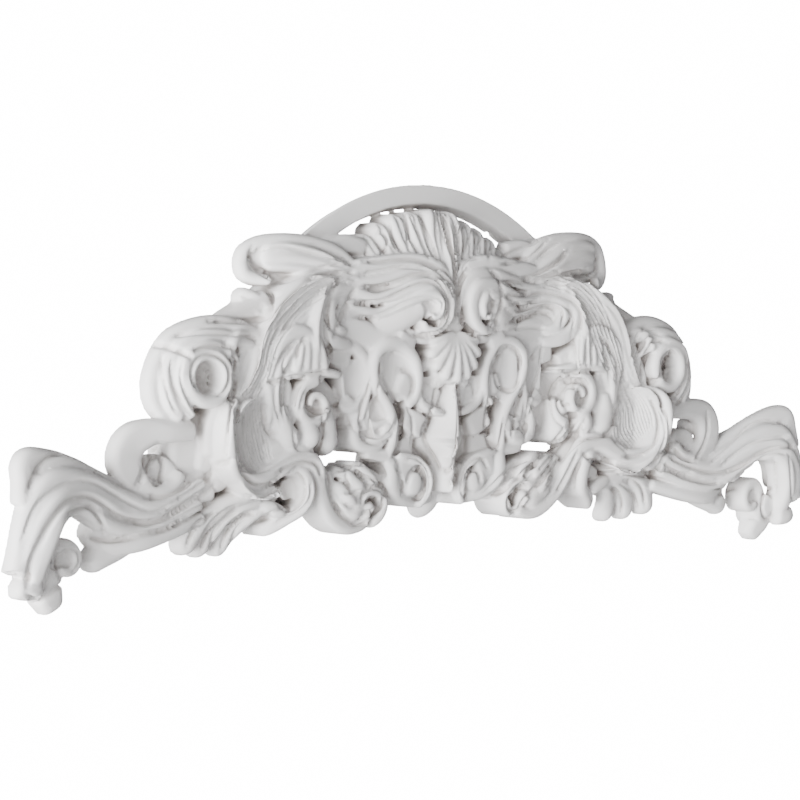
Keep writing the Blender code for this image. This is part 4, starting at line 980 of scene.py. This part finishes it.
# Every point takes the least label among its neighbours until none changes: one label per shell
def shellLabels(mesh):
    count = len(mesh.vertices)
    edges = np.empty(2 * len(mesh.edges), dtype=np.int64)
    mesh.edges.foreach_get("vertices", edges)
    edges = edges.reshape(-1, 2)
    label = np.arange(count)
    while True:
        low = np.minimum(label[edges[:, 0]], label[edges[:, 1]])
        fresh = label.copy()
        np.minimum.at(fresh, edges[:, 0], low)
        np.minimum.at(fresh, edges[:, 1], low)
        fresh = fresh[fresh]
        if np.array_equal(fresh, label):
            return label
        label = fresh


# Keep the largest shell, so that sealed pockets between strokes are solid
def keepOuterShell(mesh):
    label = shellLabels(mesh)
    values, counts = np.unique(label, return_counts=True)
    extra = np.flatnonzero(label != values[np.argmax(counts)])
    work = bmesh.new()
    work.from_mesh(mesh)
    work.verts.ensure_lookup_table()
    bmesh.ops.delete(work, geom=[work.verts[index] for index in extra.tolist()], context="VERTS")
    work.to_mesh(mesh)
    work.free()


# Cut everything behind the back plane away and cap the cut
def flatBack(mesh):
    work = bmesh.new()
    work.from_mesh(mesh)
    geometry = work.verts[:] + work.edges[:] + work.faces[:]
    cut = bmesh.ops.bisect_plane(work, geom=geometry, plane_co=(0, 0, 0), plane_no=(0, 1, 0),
                                 clear_outer=True)
    rim = [item for item in cut["geom_cut"] if isinstance(item, bmesh.types.BMEdge)]
    bmesh.ops.triangle_fill(work, use_beauty=True, edges=rim, normal=(0, 1, 0))
    work.to_mesh(mesh)
    work.free()


# The whole carving as one mesh: strokes fused on a voxel grid, softened, cut with the fine lines,
# thinned to the set number of triangles and cut flat at the back plane
def scrollCarving():
    piece = bpy.data.objects.new("scroll_carving", strokeMesh("scroll_carving"))
    bpy.context.collection.objects.link(piece)
    fuse = piece.modifiers.new("fuse strokes", "REMESH")
    fuse.mode = "VOXEL"
    fuse.voxel_size = carving["grain"] * 1.0
    bakeModifiers(piece)
    print("strokes fused:", len(piece.data.polygons), "faces")
    keepOuterShell(piece.data)
    soften = piece.modifiers.new("soften", "SMOOTH")
    soften.factor = 0.5
    soften.iterations = carving["softening"]
    bakeModifiers(piece)
    cutGrooves(piece.data)
    print("grooves cut")
    thin = piece.modifiers.new("thin out", "DECIMATE")
    thin.ratio = min(1.0, carving["triangles"] / (2 * len(piece.data.polygons)))
    bakeModifiers(piece)
    flatBack(piece.data)
    markGrooves(piece.data)
    piece.data.shade_smooth()
    print("carving made:", len(piece.data.polygons), "faces")
    return piece


primer = {
    "colour": (0.80, 0.79, 0.785, 1.0),
    "shade": (0.74, 0.72, 0.71, 1.0),        # a little warmer where the coat is thick
    "paintedShade": (0.34, 0.31, 0.29, 1.0),      # painted shade colour for undercuts and cut lines, where shade falls
    "reach": 0.022,                          # how wide an undercut takes painted shade, in metres
    "grooveShade": 0.32,                      # how far a full cut is darkened towards the painted shade colour
    "open": (0.05, 0.7),                     # share of open sky from full painted shade to none
    "roughness": 0.62,
    "roughnessSpread": 0.08,
    "specular": 0.3,
    "mottle": 18.0,                          # patches per metre
    "mottleRange": (0.25, 0.55),             # noise from full shade to full colour
    "tooth": 900.0,                          # fine grain of the coat, per metre
    "toothStrength": 0.12,
    "toothDepth": 0.0004,
}


# Matt primer: a nearly white coat with faint mottling and a fine tooth as bump, with painted shade
# darkening its undercuts (ambient occlusion) and its cut lines
def primedWhite():
    material = bpy.data.materials.new("primed_white")
    material.use_nodes = True
    nodes = material.node_tree.nodes
    links = material.node_tree.links
    shader = nodes["Principled BSDF"]
    shader.inputs["Metallic"].default_value = 0.0
    shader.inputs["Specular IOR Level"].default_value = primer["specular"]
    where = nodes.new("ShaderNodeTexCoord")
    mottle = nodes.new("ShaderNodeTexNoise")
    mottle.inputs["Scale"].default_value = primer["mottle"]
    mottle.inputs["Detail"].default_value = 4.0
    links.new(where.outputs["Object"], mottle.inputs["Vector"])
    tone = nodes.new("ShaderNodeValToRGB")
    tone.color_ramp.elements[0].position = primer["mottleRange"][0]
    tone.color_ramp.elements[0].color = primer["shade"]
    tone.color_ramp.elements[1].position = primer["mottleRange"][1]
    tone.color_ramp.elements[1].color = primer["colour"]
    links.new(mottle.outputs["Fac"], tone.inputs["Fac"])
    # Painted shade in the undercuts: ambient occlusion darkens the coat towards the painted shade
    # colour
    occlusion = nodes.new("ShaderNodeAmbientOcclusion")
    occlusion.samples = 8
    occlusion.inputs["Distance"].default_value = primer["reach"]
    depth = nodes.new("ShaderNodeMapRange")
    depth.inputs["From Min"].default_value = primer["open"][0]
    depth.inputs["From Max"].default_value = primer["open"][1]
    links.new(occlusion.outputs["AO"], depth.inputs["Value"])
    coat = nodes.new("ShaderNodeMix")
    coat.data_type = "RGBA"
    coat.inputs["A"].default_value = primer["paintedShade"]
    links.new(depth.outputs["Result"], coat.inputs["Factor"])
    links.new(tone.outputs["Color"], coat.inputs["B"])
    # Painted shade along the cut lines: the deeper a cut, the darker the coat
    groove = nodes.new("ShaderNodeAttribute")
    groove.attribute_name = "groove"
    thin = nodes.new("ShaderNodeMapRange")
    thin.inputs["To Max"].default_value = primer["grooveShade"]
    links.new(groove.outputs["Fac"], thin.inputs["Value"])
    lineShaded = nodes.new("ShaderNodeMix")
    lineShaded.data_type = "RGBA"
    lineShaded.inputs["B"].default_value = primer["paintedShade"]
    links.new(thin.outputs["Result"], lineShaded.inputs["Factor"])
    links.new(coat.outputs["Result"], lineShaded.inputs["A"])
    links.new(lineShaded.outputs["Result"], shader.inputs["Base Color"])
    rough = nodes.new("ShaderNodeMapRange")
    rough.inputs["To Min"].default_value = primer["roughness"] - primer["roughnessSpread"]
    rough.inputs["To Max"].default_value = primer["roughness"] + primer["roughnessSpread"]
    links.new(mottle.outputs["Fac"], rough.inputs["Value"])
    links.new(rough.outputs["Result"], shader.inputs["Roughness"])
    tooth = nodes.new("ShaderNodeTexNoise")
    tooth.inputs["Scale"].default_value = primer["tooth"]
    links.new(where.outputs["Object"], tooth.inputs["Vector"])
    bump = nodes.new("ShaderNodeBump")
    bump.inputs["Strength"].default_value = primer["toothStrength"]
    bump.inputs["Distance"].default_value = primer["toothDepth"]
    links.new(tooth.outputs["Fac"], bump.inputs["Height"])
    links.new(bump.outputs["Normal"], shader.inputs["Normal"])
    return material


onlay = scrollCarving()
onlay.data.materials.clear()
onlay.data.materials.append(primedWhite())
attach(onlay, "root")
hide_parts("scroll_onlay")
print("carving dressed")

studio = {
    "floorHeight": -0.75,
    "floorRadius": 1.2,
    "floorSides": 64,
    "floorColour": (0.92, 0.92, 0.92, 1.0),
    "floorRoughness": 0.9,
    "backdrop": 16.0,        # how white the surround is to the camera
    "fromBelow": 0.50,       # and how bright as a light on the object, from below
    "fromAbove": 0.10,       # and from above
    "aim": (0.0, 0.0, 0.0),
    "lamps": {
        "key": {"place": (-4.4, -0.85, -0.2), "size": 3.4, "power": 830.0},
        "front": {"place": (-3.2, -3.0, -0.3), "size": 2.6, "power": 95.0},
    },
}


# Plain pale floor below the hung onlay
def paleFloor():
    sides = studio["floorSides"]
    around = np.linspace(0, 2 * pi, sides, endpoint=False)
    rim = np.empty((sides, 3))
    rim[:, 0] = studio["floorRadius"] * np.cos(around)
    rim[:, 1] = studio["floorRadius"] * np.sin(around)
    rim[:, 2] = studio["floorHeight"]
    mesh = bpy.data.meshes.new("floor")
    mesh.from_pydata(rim.tolist(), [], [list(range(sides))])
    floor = bpy.data.objects.new("floor", mesh)
    bpy.context.collection.objects.link(floor)
    material = bpy.data.materials.new("pale_floor")
    material.use_nodes = True
    shader = material.node_tree.nodes["Principled BSDF"]
    shader.inputs["Base Color"].default_value = studio["floorColour"]
    shader.inputs["Roughness"].default_value = studio["floorRoughness"]
    mesh.materials.append(material)
    return floor


# Round soft lamps, each turned to the middle of the onlay
def softLamps():
    for name, setting in studio["lamps"].items():
        lamp = bpy.data.lights.new(name, "AREA")
        lamp.shape = "DISK"
        lamp.size = setting["size"]
        lamp.energy = setting["power"]
        light = bpy.data.objects.new(name, lamp)
        light.location = setting["place"]
        ahead = Vector(studio["aim"]) - Vector(setting["place"])
        light.rotation_euler = ahead.to_track_quat("-Z", "Y").to_euler()
        bpy.context.collection.objects.link(light)


# White all round: full white to the camera, softer as a light on the object
def whiteSurround():
    world = bpy.data.worlds.new("studio")
    bpy.context.scene.world = world
    world.use_nodes = True
    nodes = world.node_tree.nodes
    background = nodes["Background"]
    background.inputs["Color"].default_value = (1.0, 1.0, 1.0, 1.0)
    where = nodes.new("ShaderNodeTexCoord")
    parts = nodes.new("ShaderNodeSeparateXYZ")
    world.node_tree.links.new(where.outputs["Generated"], parts.inputs["Vector"])
    glow = nodes.new("ShaderNodeMapRange")
    glow.inputs["From Min"].default_value = -1.0
    glow.inputs["To Min"].default_value = studio["fromBelow"]
    glow.inputs["To Max"].default_value = studio["fromAbove"]
    world.node_tree.links.new(parts.outputs["Z"], glow.inputs["Value"])
    path = nodes.new("ShaderNodeLightPath")
    strength = nodes.new("ShaderNodeMapRange")
    strength.inputs["To Max"].default_value = studio["backdrop"]
    world.node_tree.links.new(glow.outputs["Result"], strength.inputs["To Min"])
    world.node_tree.links.new(path.outputs["Is Camera Ray"], strength.inputs["Value"])
    world.node_tree.links.new(strength.outputs["Result"], background.inputs["Strength"])


paleFloor()
whiteSurround()
softLamps()
print("studio lit")

view = {
    "turn": 42.26,           # degrees round from the front, to the left
    "tip": -2.09,            # looking down a little
    "distance": 1.945,        # from the aim point, in drawing units of a metre
    "aim": (-0.0278, -0.008, 0.0),
    "lens": 99.0,
}


# Camera on a straight line back from its aim point, all in the drawing's scale
def studioCamera():
    turn = radians(view["turn"])
    tip = radians(view["tip"])
    ahead = Vector((sin(turn) * cos(tip), cos(turn) * cos(tip), sin(tip)))
    scale = module / 0.001
    place = (Vector(view["aim"]) - ahead * view["distance"]) * scale
    data = bpy.data.cameras.new("camera")
    data.lens = view["lens"]
    data.sensor_width = 36.0
    data.clip_end = 100.0
    camera = bpy.data.objects.new("camera", data)
    camera.location = place
    camera.rotation_euler = ahead.to_track_quat("-Z", "Y").to_euler()
    bpy.context.collection.objects.link(camera)
    bpy.context.scene.camera = camera


studioCamera()
print("camera set")
